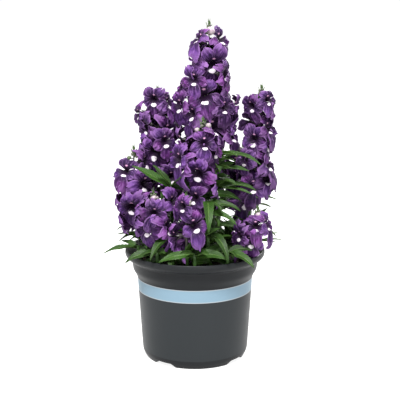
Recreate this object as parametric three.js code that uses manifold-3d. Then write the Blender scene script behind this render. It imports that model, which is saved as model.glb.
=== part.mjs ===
// A potted angelonia as sold: a thin plastic nursery pot with a flared lip, a stepped collar and
// a notched foot, its soil, and a clump of leafy shoots. Eleven shoots end in a spike of
// two-lipped blooms under a tip of unopened buds, and the short shoots round them bear leaves only.
// Millimetres, +Z up, the front towards -Y. The origin is the centre of the pot's underside.
import * as THREE from "three";
import { mergeVertices } from "three/addons/utils/BufferGeometryUtils.js";
import Module from "manifold-3d";

const wasm = await Module();
wasm.setup();

// Pot
const potHeight = 97.5;
const lipRadius = 62.5; // outer edge of the flared lip
const lipFoot = 88.6; // height where the lip leaves the collar
const collarRadius = 56.3;
const collarFoot = 80.5; // the collar is straight above this and curves in below it
const waistRadius = 51.6; // body right under the collar
const waistHeight = 74;
const bodyFootRadius = 47.3;
const footRadius = 44.4; // outer edge of the ring that stands on the table
const footCorner = 5.5; // height where the rounded foot meets the straight body
const wall = 1.5;
const floorRise = 3.6; // underside of the floor above the table, between pad and foot ring
const padRadius = 15; // middle of the floor, which dips to the table
const potSides = 28;
const notchCount = 4;
const notchTurn = 53.5; // degrees from the front to the first notch
const notchHalfTop = 6.9;
const notchHalfFoot = 11.8;
const drainRadius = 4;
const drainReach = 31;

// Soil
const soilTop = 84;
const soilGap = 0.4; // between the soil and the pot's inner wall
const soilRelief = 1.6; // height of the crumbs and hollows of the surface
const soilSides = 20;
const stemDepth = 12; // how far a stem stands in its hole
const holeGap = 0.4;

// Stems, blooms, buds and leaves
const stemSides = 5;
const stemFootRadius = 1.7;
const stemTopRadius = 1.15;
const spikeTopRadius = 0.75;
const joinGap = 0.3; // between the pieces that meet end to end
const lipGap = 0.5; // least distance from the beads of a bloom or leaf to the pot
const bloomSize = 12.2; // throat to the tip of a side lobe, on the largest blooms
const bloomReach = 16; // stem to the mouth of the throat, on the oldest blooms
const youngReach = 10; // the same on the youngest
const bloomStep = 14; // from one pair of blooms to the next one up
const agingLength = 100; // how far down a spike a bloom's reach still grows
const throatDepth = 4;
const petalThickness = 1.2;
const neckRadius = 1.35; // of the three-sided stalk where it meets the bloom
const ownBloomShare = 0.52; // how near blooms of one spike may come, 1 for no touch at all
const budZone = 13; // the end of a spike, which carries buds
const budCount = 3;
const leafWidth = 9.2;
const leafKeel = 1.3; // how far the midrib stands out below
const mostRoll = 0.8; // radians that a blade rolls about its midrib
const rollReach = 25; // distance from the pot's middle where a blade rolls this much
const toothCount = 2; // on each edge of a leaf

// The flowering shoots. foot is where each stem leaves the soil, tip the end of its buds and lean
// how far the upper spike slants. seen are the blooms on its front, as height, facing in degrees
// from the front towards +X and, where it isn't the usual one, reach. The back of every spike, and
// all of one that is hidden, has opposite pairs from the height low up, each turned 90 degrees
// from the last, the lowest one by turn. leaves counts the pairs of leaves below the blooms.
const spikes = [
  {
    name: "middle_tall", foot: [7, 8], tip: [12.5, 12, 296.5], lean: [1, 0],
    low: 187, turn: 35, leaves: 4, leafTurn: 72,
    seen: [
      [258, 16], [232, -12], [204, 18], [276, 66], [276, -50], [263, 78], [261, -58],
      [244, -78], [239, 76], [229, -84], [223, 66], [213, -70], [203, 80],
    ],
  },
  {
    name: "front_middle", foot: [5, -16], tip: [7, -32, 217.5], lean: [3, 0],
    low: 156, turn: 20, leaves: 2, leafTurn: 40,
    seen: [[171, -14], [199, 10], [195, -76], [191, 54], [183, -84, 17.5], [161, 54]],
  },
  {
    name: "left_back", foot: [-24, 14], tip: [-33, 18, 239.5], lean: [0, 0],
    low: 150, turn: 60, leaves: 3, leafTurn: -62,
    seen: [
      [225, -36], [200, 42], [182, -12], [222, 54], [203, -62], [213, 84], [186, -76], [158, 78],
    ],
  },
  {
    name: "far_left", foot: [-41, -4], tip: [-53, -8, 190.5], lean: [0, 0],
    low: 128, turn: 30, leaves: 1, leafTurn: 20,
    seen: [[137, -18], [167, -50], [157, 36], [148, -66], [131, -84]],
  },
  {
    name: "left_front", foot: [-28, -30], tip: [-35, -41, 158], lean: [-2, -2],
    low: 120, turn: 10, leaves: 1, leafTurn: 60,
    seen: [[137, 0], [143, 78, 15], [140, -72], [124, -34], [125, 54]],
  },
  {
    name: "right_tall", foot: [41, 2], tip: [58, 4, 242], lean: [4, 0],
    low: 150, turn: 50, leaves: 2, leafTurn: -58,
    seen: [
      [221, -50], [194, -30], [153, -4], [226, 36], [218, 80], [204, 62], [189, 42],
      [182, -76], [172, 24], [162, -68], [159, 56],
    ],
  },
  {
    name: "right_front", foot: [41, -22], tip: [54, -28, 141], lean: [1, -1],
    low: 104, turn: 20, leaves: 0, leafTurn: 75,
    seen: [[112, -18], [124, -78], [125, 68], [105, -66]],
  },
  {
    name: "front_low", foot: [-6, -40], tip: [-7, -51, 157], lean: [0, -2],
    low: 116, turn: 25, leaves: 1, leafTurn: 80,
    seen: [[143, -28], [129, 40], [133, -38], [117, -76]],
  },
  {
    name: "back_middle", foot: [6, 30], tip: [12, 50, 222], lean: [0, 3],
    low: 150, turn: 8, leaves: 2, leafTurn: 50, seen: [],
  },
  {
    name: "back_left", foot: [-26, 33], tip: [-38, 49, 182], lean: [-2, 2],
    low: 126, turn: 50, leaves: 2, leafTurn: 10, seen: [],
  },
  {
    name: "back_right", foot: [28, 30], tip: [46, 45, 190], lean: [2, 2],
    low: 134, turn: 30, leaves: 2, leafTurn: 15, seen: [],
  },
];

// The leafy shoots, with their pairs of leaves from the top down. turn is the way the top pair
// faces, climb the angle at which its leaves set out and droop how far they bend down.
const leafyShoots = [
  {
    name: "leaves_middle", foot: [13, -11], tip: [18, -13, 184],
    pairs: 6, turn: 86, climb: 25, droop: 60, length: 42,
  },
  {
    name: "leaves_left_middle", foot: [-14, -18], tip: [-20, -25, 159],
    pairs: 3, turn: -92, climb: 8, droop: 10, length: 36,
  },
  {
    name: "leaves_front", foot: [12, -33], tip: [11, -38, 148],
    pairs: 4, turn: 14, climb: 30, droop: 112, length: 46,
  },
  {
    name: "leaves_front_left", foot: [-17, -30], tip: [-19, -34, 118],
    pairs: 3, turn: -38, climb: 14, droop: 68, length: 36,
  },
  {
    name: "leaves_rim_left", foot: [-28.5, -37], tip: [-32, -41, 105],
    pairs: 2, turn: -70, climb: 16, droop: 50, length: 28,
  },
  {
    name: "leaves_rim_middle", foot: [0, -46.5], tip: [0, -51, 105],
    pairs: 2, turn: 88, climb: 14, droop: 46, length: 32,
  },
  {
    name: "leaves_rim_right", foot: [26, -38.5], tip: [28, -43, 106],
    pairs: 2, turn: 66, climb: 16, droop: 50, length: 30,
  },
  {
    name: "leaves_left", foot: [-45, -11.5], tip: [-50, -13, 103],
    pairs: 2, turn: -82, climb: 14, droop: 30, length: 31,
  },
  {
    name: "leaves_right", foot: [46, 6], tip: [51, 7, 103],
    pairs: 2, turn: 88, climb: 8, droop: 14, length: 24,
  },
  {
    name: "leaves_back_right", foot: [41, 21.5], tip: [46, 25, 108],
    pairs: 3, turn: 120, climb: 40, droop: 80, length: 36,
  },
  {
    name: "leaves_back", foot: [14.5, 44], tip: [17, 50, 106],
    pairs: 3, turn: 170, climb: 40, droop: 85, length: 38,
  },
  {
    name: "leaves_back_far", foot: [-11.5, 44.5], tip: [-13, 50, 104],
    pairs: 3, turn: -160, climb: 40, droop: 85, length: 38,
  },
  {
    name: "leaves_back_left", foot: [-42, 19.5], tip: [-48, 22, 108],
    pairs: 3, turn: -115, climb: 40, droop: 80, length: 36,
  },
];

const leafGreen = new THREE.MeshStandardMaterial({ color: 0x4f7d3a, roughness: 0.55, metalness: 0 });
const bloomPurple = new THREE.MeshStandardMaterial({ color: 0x6f3a92, roughness: 0.6, metalness: 0 });
const budPale = new THREE.MeshStandardMaterial({ color: 0xb9c98e, roughness: 0.6, metalness: 0 });
const potGrey = new THREE.MeshStandardMaterial({ color: 0x3c3d3f, roughness: 0.5, metalness: 0 });
const soilBrown = new THREE.MeshStandardMaterial({ color: 0x2a2019, roughness: 0.95, metalness: 0 });

const vec = (x, y, z) => new THREE.Vector3(x, y, z);
const radians = THREE.MathUtils.degToRad;
const UP = vec(0, 0, 1);

// A seeded draw: each call gives the next number between low and high.
function drawsFrom(seed) {
  let state = seed;
  return (low, high) => {
    state = (state * 16807) % 2147483647;
    return low + ((high - low) * state) / 2147483647;
  };
}

// The level direction that lies this many degrees from the front, towards +X.
function outwards(degrees) {
  return vec(Math.sin(radians(degrees)), -Math.cos(radians(degrees)), 0);
}

// Solids

function solidOf(points, triangles) {
  const vertProperties = new Float32Array(points.flatMap((p) => [p.x, p.y, p.z]));
  const triVerts = new Uint32Array(triangles.flat());
  return new wasm.Manifold(new wasm.Mesh({ numProp: 3, vertProperties, triVerts }));
}

// A closed three.js geometry as a solid, its shared vertices merged and collapsed faces dropped.
function solidFrom(geometry) {
  const bare = geometry.clone();
  bare.deleteAttribute("normal");
  bare.deleteAttribute("uv");
  const merged = mergeVertices(bare, 1e-4);
  const index = merged.index.array;
  const kept = [];
  for (let i = 0; i < index.length; i += 3) {
    const [a, b, c] = [index[i], index[i + 1], index[i + 2]];
    if (a !== b && b !== c && a !== c) kept.push(a, b, c);
  }
  return new wasm.Manifold(
    new wasm.Mesh({
      numProp: 3,
      vertProperties: merged.attributes.position.array,
      triVerts: new Uint32Array(kept),
    }),
  );
}

function joined(solids) {
  return solids.reduce((all, next) => all.add(next));
}

// A profile of [radius, height] pairs turned about the Z axis.
function turned(profile, sides) {
  const points = profile.map(([r, z]) => new THREE.Vector2(r, z));
  return new THREE.LatheGeometry(points, sides).rotateX(Math.PI / 2);
}

// A tapered tube through points, with a level or upright first side, closed at both ends.
function tube(points, radii, sides) {
  const vertices = [];
  const faces = [];
  points.forEach((p, i) => {
    const before = points[Math.max(0, i - 1)];
    const after = points[Math.min(points.length - 1, i + 1)];
    const along = after.clone().sub(before).normalize();
    const side = Math.abs(along.z) > 0.8 ? vec(1, 0, 0) : UP.clone();
    side.addScaledVector(along, -side.dot(along)).normalize();
    const other = along.clone().cross(side);
    for (let k = 0; k < sides; k++) {
      const a = (2 * Math.PI * k) / sides;
      const vertex = p.clone().addScaledVector(side, radii[i] * Math.cos(a));
      vertices.push(vertex.addScaledVector(other, radii[i] * Math.sin(a)));
    }
  });
  const ring = (i, k) => i * sides + (k % sides);
  for (let i = 0; i + 1 < points.length; i++)
    for (let k = 0; k < sides; k++) {
      faces.push([ring(i, k), ring(i, k + 1), ring(i + 1, k + 1)]);
      faces.push([ring(i, k), ring(i + 1, k + 1), ring(i + 1, k)]);
    }
  const last = points.length - 1;
  for (let k = 1; k + 1 < sides; k++) {
    faces.push([ring(0, 0), ring(0, k + 1), ring(0, k)]);
    faces.push([ring(last, 0), ring(last, k), ring(last, k + 1)]);
  }
  return solidOf(vertices, faces);
}

// Beads: balls that cover a piece of a node. They keep a new bloom or leaf clear of all that
// stands in other nodes, of the soil and of the pot's lip. In its own node a piece may cross a
// stem, and others like itself by the share that its beads are shrunk by.
const standing = [];

function stand(node, beads, isStem = false) {
  beads.forEach((bead) => standing.push({ node, isStem, ...bead }));
}

function spacing(node, other, ownShare) {
  if (other.node !== node) return 1;
  return other.isStem ? 0 : ownShare;
}

function bead(centre, radius) {
  return { centre, radius };
}

function beadsAlong(points, radius) {
  return points.map((p) => bead(p, radius));
}

function clearOfPot({ centre, radius }) {
  const reach = Math.hypot(centre.x, centre.y);
  const low = centre.z - radius;
  if (low > potHeight + lipGap || reach - radius > lipRadius + lipGap) return true;
  return low > soilTop + soilRelief && reach + radius < collarRadius - wall - lipGap;
}

function isClear(node, beads, ownShare) {
  const apart = (b, o) => {
    const least = (o.radius + b.radius) * spacing(node, o, ownShare);
    return o.centre.distanceTo(b.centre) >= least;
  };
  return beads.every((b) => clearOfPot(b) && standing.every((o) => apart(b, o)));
}

function firstClear(node, places, beadsOf, ownShare) {
  for (const place of places) if (isClear(node, beadsOf(place), ownShare)) return place;
  return null;
}

// Pot

function innerRadius(z) {
  const slope = (waistRadius - bodyFootRadius) / (waistHeight - footCorner);
  if (z <= waistHeight) return bodyFootRadius + slope * (z - footCorner) - wall;
  const share = Math.min(1, (z - waistHeight) / (collarFoot - waistHeight));
  return THREE.MathUtils.lerp(waistRadius, collarRadius - 0.9, share) - wall;
}

function potProfile() {
  const floorTop = floorRise + wall;
  const outside = [
    [0, 0],
    [padRadius, 0],
    [padRadius + 2, floorRise],
    [footRadius - 4.4, floorRise],
    [footRadius - 2.6, 0],
    [footRadius, 0],
    [bodyFootRadius, footCorner],
    [waistRadius, waistHeight],
    [collarRadius - 0.9, collarFoot],
    [collarRadius, lipFoot],
    [lipRadius - 1.6, lipFoot + 2.6],
    [lipRadius, lipFoot + 5.6],
    [lipRadius - 0.5, potHeight],
  ];
  const inside = [
    [lipRadius - 2.1, potHeight],
    [collarRadius - wall, lipFoot + 0.8],
    [innerRadius(collarFoot), collarFoot],
    [innerRadius(waistHeight), waistHeight],
    [innerRadius(floorTop + 2), floorTop + 2],
    [footRadius - 0.8, floorTop],
    [padRadius + 1.4, floorTop],
    [padRadius - 0.4, wall],
    [0, wall],
  ];
  return [...outside, ...inside];
}

// A notch is a trapezium, wider at the table, cut outwards through the foot ring.
function notchCutter(degrees) {
  const shape = new THREE.Shape([
    new THREE.Vector2(-notchHalfFoot - 1, -1),
    new THREE.Vector2(notchHalfFoot + 1, -1),
    new THREE.Vector2(notchHalfTop, floorRise),
    new THREE.Vector2(-notchHalfTop, floorRise),
  ]);
  const inner = footRadius - 8;
  return new THREE.ExtrudeGeometry(shape, { depth: 14, bevelEnabled: false })
    .translate(0, 0, inner)
    .rotateX(Math.PI / 2)
    .rotateZ(radians(degrees));
}

function drainCutter(degrees) {
  const place = outwards(degrees).multiplyScalar(drainReach);
  return new THREE.CylinderGeometry(drainRadius, drainRadius, 6, 12)
    .rotateX(Math.PI / 2)
    .translate(place.x, place.y, floorRise + wall / 2);
}

function makePot() {
  let pot = solidFrom(turned(potProfile(), potSides));
  for (let i = 0; i < notchCount; i++) {
    const degrees = notchTurn + (360 * i) / notchCount;
    pot = pot.subtract(solidFrom(notchCutter(degrees)));
    pot = pot.subtract(solidFrom(drainCutter(degrees)));
  }
  return pot;
}

// Soil: its surface is raised by a sum of waves over x and y, which leaves crumbs and hollows.

function soilHeight(x, y) {
  const broad = Math.sin(0.31 * x + 1.1) * Math.cos(0.27 * y);
  const fine = 0.6 * Math.sin(0.53 * y - 0.41 * x);
  return soilTop + (soilRelief / 2) * (broad + fine);
}

function makeSoil(stems) {
  const bottom = floorRise + wall + soilGap;
  const edge = innerRadius(soilTop) - soilGap;
  const profile = [
    [0, bottom],
    [footRadius - 1.4, bottom],
    [innerRadius(bottom + 2) - soilGap, bottom + 2],
    [innerRadius(waistHeight) - soilGap, waistHeight],
    [innerRadius(collarFoot) - soilGap, collarFoot],
    [edge, soilTop - 1.5],
    [edge * 0.8, soilTop],
    [edge * 0.5, soilTop],
    [edge * 0.25, soilTop],
    [0, soilTop],
  ];
  const geometry = turned(profile, soilSides);
  const position = geometry.attributes.position;
  for (let i = 0; i < position.count; i++)
    if (position.getZ(i) > soilTop - 0.1)
      position.setZ(i, soilHeight(position.getX(i), position.getY(i)));
  return stems.reduce((soil, stem) => soil.subtract(stemHole(stem)), solidFrom(geometry));
}

function stemHole(stem) {
  const low = vec(stem.foot.x, stem.foot.y, soilTop - stemDepth - holeGap);
  const high = vec(stem.foot.x, stem.foot.y, soilTop + 6);
  const radius = stemFootRadius + holeGap;
  return tube([low, high], [radius, radius], stemSides);
}

// Stems: each axis is one cubic curve, splayed at the soil and nearly upright along the spike.

function axisOf(foot, tip, lean) {
  const rise = tip.z - soilTop;
  return new THREE.CubicBezierCurve3(
    foot,
    vec(foot.x + 0.45 * (tip.x - foot.x), foot.y + 0.45 * (tip.y - foot.y), foot.z + 0.25 * rise),
    vec(tip.x - lean[0], tip.y - lean[1], tip.z - 0.55 * rise),
    tip,
  );
}

// The curve's parameter at a height, found by halving, because every axis only rises.
function shareAt(axis, z) {
  let low = 0;
  let high = 1;
  for (let i = 0; i < 40; i++) {
    const middle = (low + high) / 2;
    if (axis.getPoint(middle).z < z) low = middle;
    else high = middle;
  }
  return (low + high) / 2;
}

function axisPoint(axis, z) {
  return axis.getPoint(shareAt(axis, z));
}

function axisPoints(axis, low, high, steps) {
  const points = [];
  for (let i = 0; i <= steps; i++)
    points.push(axisPoint(axis, THREE.MathUtils.lerp(low, high, i / steps)));
  return points;
}

// Blooms: five lobes round an open throat. Angles lie in the bloom's own face with 90 degrees
// upwards, half is a lobe's half width there, and length and forward are shares of the bloom's
// size. The lowest lobe is the lip.
const lobes = [
  { middle: 270, length: 1.25, half: 33, forward: 0.26 },
  { middle: 342, length: 1.0, half: 26, forward: 0.1 },
  { middle: 55, length: 1.0, half: 27, forward: 0.02 },
  { middle: 125, length: 1.0, half: 27, forward: 0.02 },
  { middle: 198, length: 1.0, half: 26, forward: 0.1 },
];
const notchShare = 0.6;

// The frame of a bloom: the middle of its mouth, the way it faces, its own up and its own right.
function bloomFrame(axis, bloom, swing, share) {
  const out = outwards(bloom.degrees + swing);
  const tilt = radians(bloom.tilt);
  const facing = out.clone().multiplyScalar(Math.cos(tilt)).addScaledVector(UP, Math.sin(tilt));
  const level = UP.clone().cross(facing).normalize();
  const right = level.applyAxisAngle(facing, radians(bloom.roll));
  const up = facing.clone().cross(right);
  const root = axisPoint(axis, bloom.z);
  const reach = bloom.reach * share;
  const mouth = root.clone().addScaledVector(out, reach).addScaledVector(UP, reach * bloom.rise);
  return { root, mouth, facing, right, up, size: bloom.size * Math.min(1, 0.4 + 0.6 * share) };
}

function onFace(frame, degrees, distance, forward) {
  const a = radians(degrees);
  return frame.mouth
    .clone()
    .addScaledVector(frame.right, distance * Math.cos(a))
    .addScaledVector(frame.up, distance * Math.sin(a))
    .addScaledVector(frame.facing, forward);
}

function bloomBeads(frame) {
  const beads = [bead(onFace(frame, 0, 0, -2.6), 4), bead(onFace(frame, 0, 0, -7), 1.8)];
  for (const lobe of lobes) {
    const length = frame.size * lobe.length;
    const forward = frame.size * lobe.forward;
    beads.push(bead(onFace(frame, lobe.middle, 0.46 * length, 0.3 * forward), 2.6));
    for (const side of [-0.55, 0.55]) {
      const degrees = lobe.middle + side * lobe.half;
      beads.push(bead(onFace(frame, degrees, 0.78 * length, 0.7 * forward), 2.7));
    }
  }
  return beads;
}

// The outline of the lobes: a notch and two shoulders each, and the end of the lip.
function bloomOutline(frame) {
  const points = [];
  lobes.forEach((lobe, i) => {
    const isLip = i === 0;
    const length = frame.size * lobe.length;
    const forward = frame.size * lobe.forward;
    const shoulder = length * (isLip ? 0.86 : 0.96);
    const swing = 0.8 * lobe.half;
    const gap = (lobes[(i + 1) % lobes.length].middle - lobe.middle + 360) % 360;
    points.push(onFace(frame, lobe.middle - swing, shoulder, forward * 0.8));
    if (isLip) points.push(onFace(frame, lobe.middle, length, forward));
    points.push(onFace(frame, lobe.middle + swing, shoulder, forward * 0.8));
    points.push(onFace(frame, lobe.middle + gap / 2, frame.size * notchShare, frame.size * 0.04));
  });
  return points;
}

// A bloom is a shallow funnel. Its back narrows from the outline of the lobes to a three-sided
// stalk, which ends inside the spike's stem.
function bloomSolid(frame) {
  const points = bloomOutline(frame);
  const count = points.length;
  const pit = points.push(onFace(frame, 0, 0, -throatDepth)) - 1;
  const back = -throatDepth - 2 * petalThickness;
  const behind = onFace(frame, 0, 0, back);
  const sides = 3;
  const neck = points.length;
  for (let k = 0; k < sides; k++)
    points.push(onFace(frame, 233 + (360 * (k + 0.5)) / sides, neckRadius, back));
  for (let k = 0; k < sides; k++) {
    const offset = points[neck + k].clone().sub(behind);
    points.push(frame.root.clone().addScaledVector(offset, 0.55));
  }
  const faces = [];
  for (let k = 0; k < count; k++) {
    const next = (k + 1) % count;
    const near = Math.floor((k * sides) / count);
    const after = Math.floor(((k + 1) * sides) / count) % sides;
    faces.push([pit, k, next], [next, k, neck + near]);
    if (after !== near) faces.push([next, neck + near, neck + after]);
  }
  const foot = neck + sides;
  for (let k = 0; k < sides; k++) {
    const next = (k + 1) % sides;
    faces.push([neck + k, foot + k, foot + next], [neck + k, foot + next, neck + next]);
  }
  faces.push([foot, foot + 2, foot + 1]);
  return solidOf(points, faces);
}

// Every bloom of a spike: those seen on its front, then the pairs that its rule adds.
function bloomList(spike, draw) {
  const list = [];
  const add = (z, degrees, reach) => {
    const age = THREE.MathUtils.clamp((spike.tip[2] - 14 - z) / agingLength, 0, 1);
    const young = Math.max(0, 1 - (spike.tip[2] - 14 - z) / 22);
    list.push({
      z,
      degrees,
      reach: reach ?? THREE.MathUtils.lerp(youngReach, bloomReach, age),
      rise: 0.12 + 0.3 * young,
      tilt: 3 + 20 * young + draw(-8, 8),
      roll: draw(-12, 12),
      size: bloomSize * (1 - 0.22 * young) * draw(0.94, 1.04),
    });
  };
  spike.seen.forEach(([z, degrees, reach]) => add(z, degrees, reach));
  const pairs = Math.floor((spike.tip[2] - 17 - spike.low) / bloomStep) + 1;
  for (let i = 0; i < pairs; i++)
    for (const half of [0, 1]) {
      const z = spike.low + i * bloomStep + half * 3.5 + draw(-1.2, 1.2);
      const degrees = spike.turn + 90 * i + 180 * half + draw(-9, 9);
      if (spike.seen.length === 0 || Math.cos(radians(degrees)) < -0.4) add(z, degrees);
    }
  return list;
}

// Where a bloom could stand: first as its rule says, then swung round the stem and drawn in.
function* bloomPlaces(axis, bloom) {
  for (const share of [1, 1.15, 0.88, 0.76, 0.64])
    for (const swing of [0, 10, -10, 20, -20, 30, -30, 40, -40])
      yield bloomFrame(axis, bloom, swing, share);
}

function makeBlooms(spike, axis, draw) {
  const node = "blooms_" + spike.name;
  const core = axisPoints(axis, spike.low - 5, spike.tip[2] - budZone, 4);
  const sizes = core.map((_, i) => THREE.MathUtils.lerp(stemTopRadius, spikeTopRadius, i / 4));
  const solids = [tube(core, sizes, 5)];
  for (const bloom of bloomList(spike, draw)) {
    const frame = firstClear(node, bloomPlaces(axis, bloom), bloomBeads, ownBloomShare);
    if (!frame) continue;
    stand(node, bloomBeads(frame));
    solids.push(bloomSolid(frame));
  }
  return joined(solids);
}

// Buds: round ones on short stalks below the pointed growing tip.
function budPlace(spike, axis, i) {
  const root = axisPoint(axis, spike.tip[2] - 8 - 1.6 * i);
  const out = outwards(137.5 * i + 10);
  const middle = root.clone().addScaledVector(out, 2.4 + 1.1 * i).addScaledVector(UP, 1.2);
  return { root, out, middle, radius: 2.1 };
}

function makeBuds(spike, axis) {
  const tip = spike.tip[2];
  const heights = [tip - budZone + joinGap, tip - 5, tip];
  const core = heights.map((z) => axisPoint(axis, z));
  const solids = [tube(core, [spikeTopRadius, 1, 0.15], 4)];
  for (let i = 0; i < budCount; i++) {
    const { root, out, middle, radius } = budPlace(spike, axis, i);
    const end = middle.clone().addScaledVector(out, radius).addScaledVector(UP, 0.4 * radius);
    solids.push(tube([root, middle, end], [0.5, radius, 0.5 * radius], 4));
  }
  return joined(solids);
}

// Leaves: a narrow toothed blade whose midrib is an arc that sets out at an angle of climb and
// droops along its length. It is flat above and keeled below, and its faces meet at the edges.
function leafPoint(leaf, share, across, lift) {
  const start = radians(leaf.climb);
  const bend = radians(leaf.droop);
  const here = start - bend * share;
  const run = (leaf.length / bend) * (Math.sin(start) - Math.sin(here));
  const rise = (leaf.length / bend) * (Math.cos(here) - Math.cos(start));
  const sideways = across * Math.cos(leaf.roll) - lift * Math.sin(leaf.roll);
  const upwards = across * Math.sin(leaf.roll) + lift * Math.cos(leaf.roll);
  return leaf.root
    .clone()
    .addScaledVector(leaf.out, run - upwards * Math.sin(here))
    .addScaledVector(UP, rise + upwards * Math.cos(here))
    .addScaledVector(leaf.out.clone().cross(UP), sideways);
}

// A blade that lies along the pot's edge rolls, so that its face turns away from the middle.
function leafRoll(root, out) {
  const distance = Math.hypot(root.x, root.y);
  const share = Math.min(1, distance / rollReach) / distance;
  return mostRoll * share * (out.x * root.y - out.y * root.x);
}

function leafHalfWidth(leaf, share) {
  return (leaf.width / 2) * Math.max(0.2, Math.sin(Math.PI * share ** 0.72) ** 0.85);
}

function leafBeads(leaf) {
  const beads = [];
  for (let share = 0.08; share <= 1; share += 0.08) {
    const half = leafHalfWidth(leaf, share) / 2;
    for (const side of [-half, half])
      beads.push(bead(leafPoint(leaf, share, side, 0), 1.1 + half * 0.6));
  }
  return beads;
}

function leafSolid(leaf) {
  const edges = [0];
  const ribs = [0];
  for (let i = 0; i < toothCount; i++) {
    const peak = 0.26 + (0.44 * i) / (toothCount - 1);
    edges.push(peak, peak + 0.09);
    ribs.push(peak + 0.045);
  }
  const points = [];
  const add = (share, across, lift) => points.push(leafPoint(leaf, share, across, lift)) - 1;
  const isNotch = (i) => i > 0 && i % 2 === 0;
  const widths = edges.map((share, i) => leafHalfWidth(leaf, share) * (isNotch(i) ? 0.74 : 1));
  const left = edges.map((share, i) => add(share, -widths[i], 0));
  const right = edges.map((share, i) => add(share, widths[i], 0));
  const keel = ribs.map((share) => add(share, 0, -leafKeel));
  const tip = add(1, 0, 0);
  const last = edges.length - 1;
  const faces = [
    [left[0], keel[0], right[0]],
    [left[last], right[last], tip],
  ];
  for (let i = 0; i < last; i++)
    faces.push([left[i], right[i], right[i + 1]], [left[i], right[i + 1], left[i + 1]]);
  // One half of the underside: the keel's next point is taken once the edge has passed its tooth.
  const underside = (edge, flip) => {
    const put = (a, b, c) => faces.push(flip ? [a, c, b] : [a, b, c]);
    for (let i = 0; i < toothCount; i++) {
      put(keel[i], edge[2 * i], edge[2 * i + 1]);
      put(keel[i], edge[2 * i + 1], keel[i + 1]);
      put(keel[i + 1], edge[2 * i + 1], edge[2 * i + 2]);
    }
    put(keel[toothCount], edge[last], tip);
  };
  underside(right, true);
  underside(left, false);
  return solidOf(points, faces);
}

// Where a leaf could lie: first as its rule says, then raised, turned or shortened.
function* leafPlaces(leaf) {
  for (const share of [1, 0.85, 0.7])
    for (const swing of [0, 14, -14, 28, -28, 42, -42])
      for (const raise of [0, 15, -15, 30])
        yield {
          ...leaf,
          out: outwards(leaf.degrees + swing),
          roll: leafRoll(leaf.root, outwards(leaf.degrees + swing)),
          climb: leaf.climb + raise,
          length: leaf.length * share,
          width: leaf.width * (0.5 + 0.5 * share),
        };
}

function makeLeaves(stem, draw) {
  const solids = [];
  for (const level of stem.levels)
    for (const half of [0, 1]) {
      const rule = {
        root: axisPoint(stem.axis, level.z + half * 1.5),
        degrees: level.turn + 180 * half + draw(-14, 14),
        climb: level.climb + draw(-8, 8),
        droop: level.droop + draw(-12, 12),
        length: level.length * draw(0.88, 1.08),
        width: leafWidth * draw(0.85, 1.05),
      };
      const leaf = firstClear(stem.name, leafPlaces(rule), leafBeads, 0);
      if (!leaf) continue;
      stand(stem.name, leafBeads(leaf));
      solids.push(leafSolid(leaf));
    }
  return solids;
}

// The stems of the flowering shoots, then those of the leafy ones, with the levels of their leaves.
function listStems() {
  const flowering = spikes.map((spike) => {
    const foot = vec(spike.foot[0], spike.foot[1], soilTop);
    const top = spike.low - 5 - joinGap;
    const levels = [];
    for (let i = 0; i < spike.leaves; i++) {
      const share = spike.leaves === 1 ? 0.5 : i / (spike.leaves - 1);
      const z = THREE.MathUtils.lerp(soilTop + 10, top - 4, share);
      levels.push({ z, turn: spike.leafTurn + 90 * i, climb: 42, droop: 60, length: 48 - 8 * share });
    }
    const axis = axisOf(foot, vec(...spike.tip), spike.lean);
    return { name: "stem_" + spike.name, foot, axis, top, levels };
  });
  const leafy = leafyShoots.map((shoot) => {
    const foot = vec(shoot.foot[0], shoot.foot[1], soilTop);
    const tip = vec(...shoot.tip);
    const levels = [];
    for (let i = 0; i < shoot.pairs; i++) {
      const share = i / shoot.pairs;
      levels.push({
        z: THREE.MathUtils.lerp(tip.z - 2, soilTop + 4, share),
        turn: shoot.turn + 90 * i,
        climb: shoot.climb - 10 * share,
        droop: shoot.droop,
        length: shoot.length * (1 - 0.25 * share),
      });
    }
    return { name: shoot.name, foot, axis: axisOf(foot, tip, [0, 0]), top: tip.z, levels };
  });
  return [...flowering, ...leafy];
}

function makeStem(stem) {
  const sunk = vec(stem.foot.x, stem.foot.y, soilTop - stemDepth);
  const steps = Math.max(2, Math.round((stem.top - soilTop) / 22));
  const points = [sunk, ...axisPoints(stem.axis, soilTop, stem.top, steps)];
  const sizes = points.map((_, i) =>
    THREE.MathUtils.lerp(stemFootRadius, stemTopRadius, Math.max(0, i - 1) / steps),
  );
  return tube(points, sizes, stemSides);
}

// Assembly: stems and buds stand first, blooms are set clear of them, and leaves clear of all.

const plant = new THREE.Group();

function show(name, solid, material) {
  const mesh = solid.getMesh();
  const geometry = new THREE.BufferGeometry();
  const position = new THREE.BufferAttribute(new Float32Array(mesh.vertProperties), 3);
  geometry.setAttribute("position", position);
  geometry.setIndex(new THREE.BufferAttribute(new Uint32Array(mesh.triVerts), 1));
  geometry.computeVertexNormals();
  const shown = new THREE.Mesh(geometry, material);
  shown.name = name;
  plant.add(shown);
}

const stems = listStems();
for (const stem of stems) {
  const count = Math.ceil((stem.top - soilTop) / 2.2);
  const points = axisPoints(stem.axis, soilTop, stem.top, count);
  stand(stem.name, beadsAlong(points, stemFootRadius + 0.5), true);
}
spikes.forEach((spike, i) => {
  const { axis } = stems[i];
  const count = Math.ceil((spike.tip[2] - spike.low + 5) / 2.2);
  const points = axisPoints(axis, spike.low - 5, spike.tip[2], count);
  stand("blooms_" + spike.name, beadsAlong(points, stemTopRadius + 0.5), true);
  for (let k = 0; k < budCount; k++) {
    const { middle, radius } = budPlace(spike, axis, k);
    stand("buds_" + spike.name, [bead(middle, radius + 0.3)]);
  }
});

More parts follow.
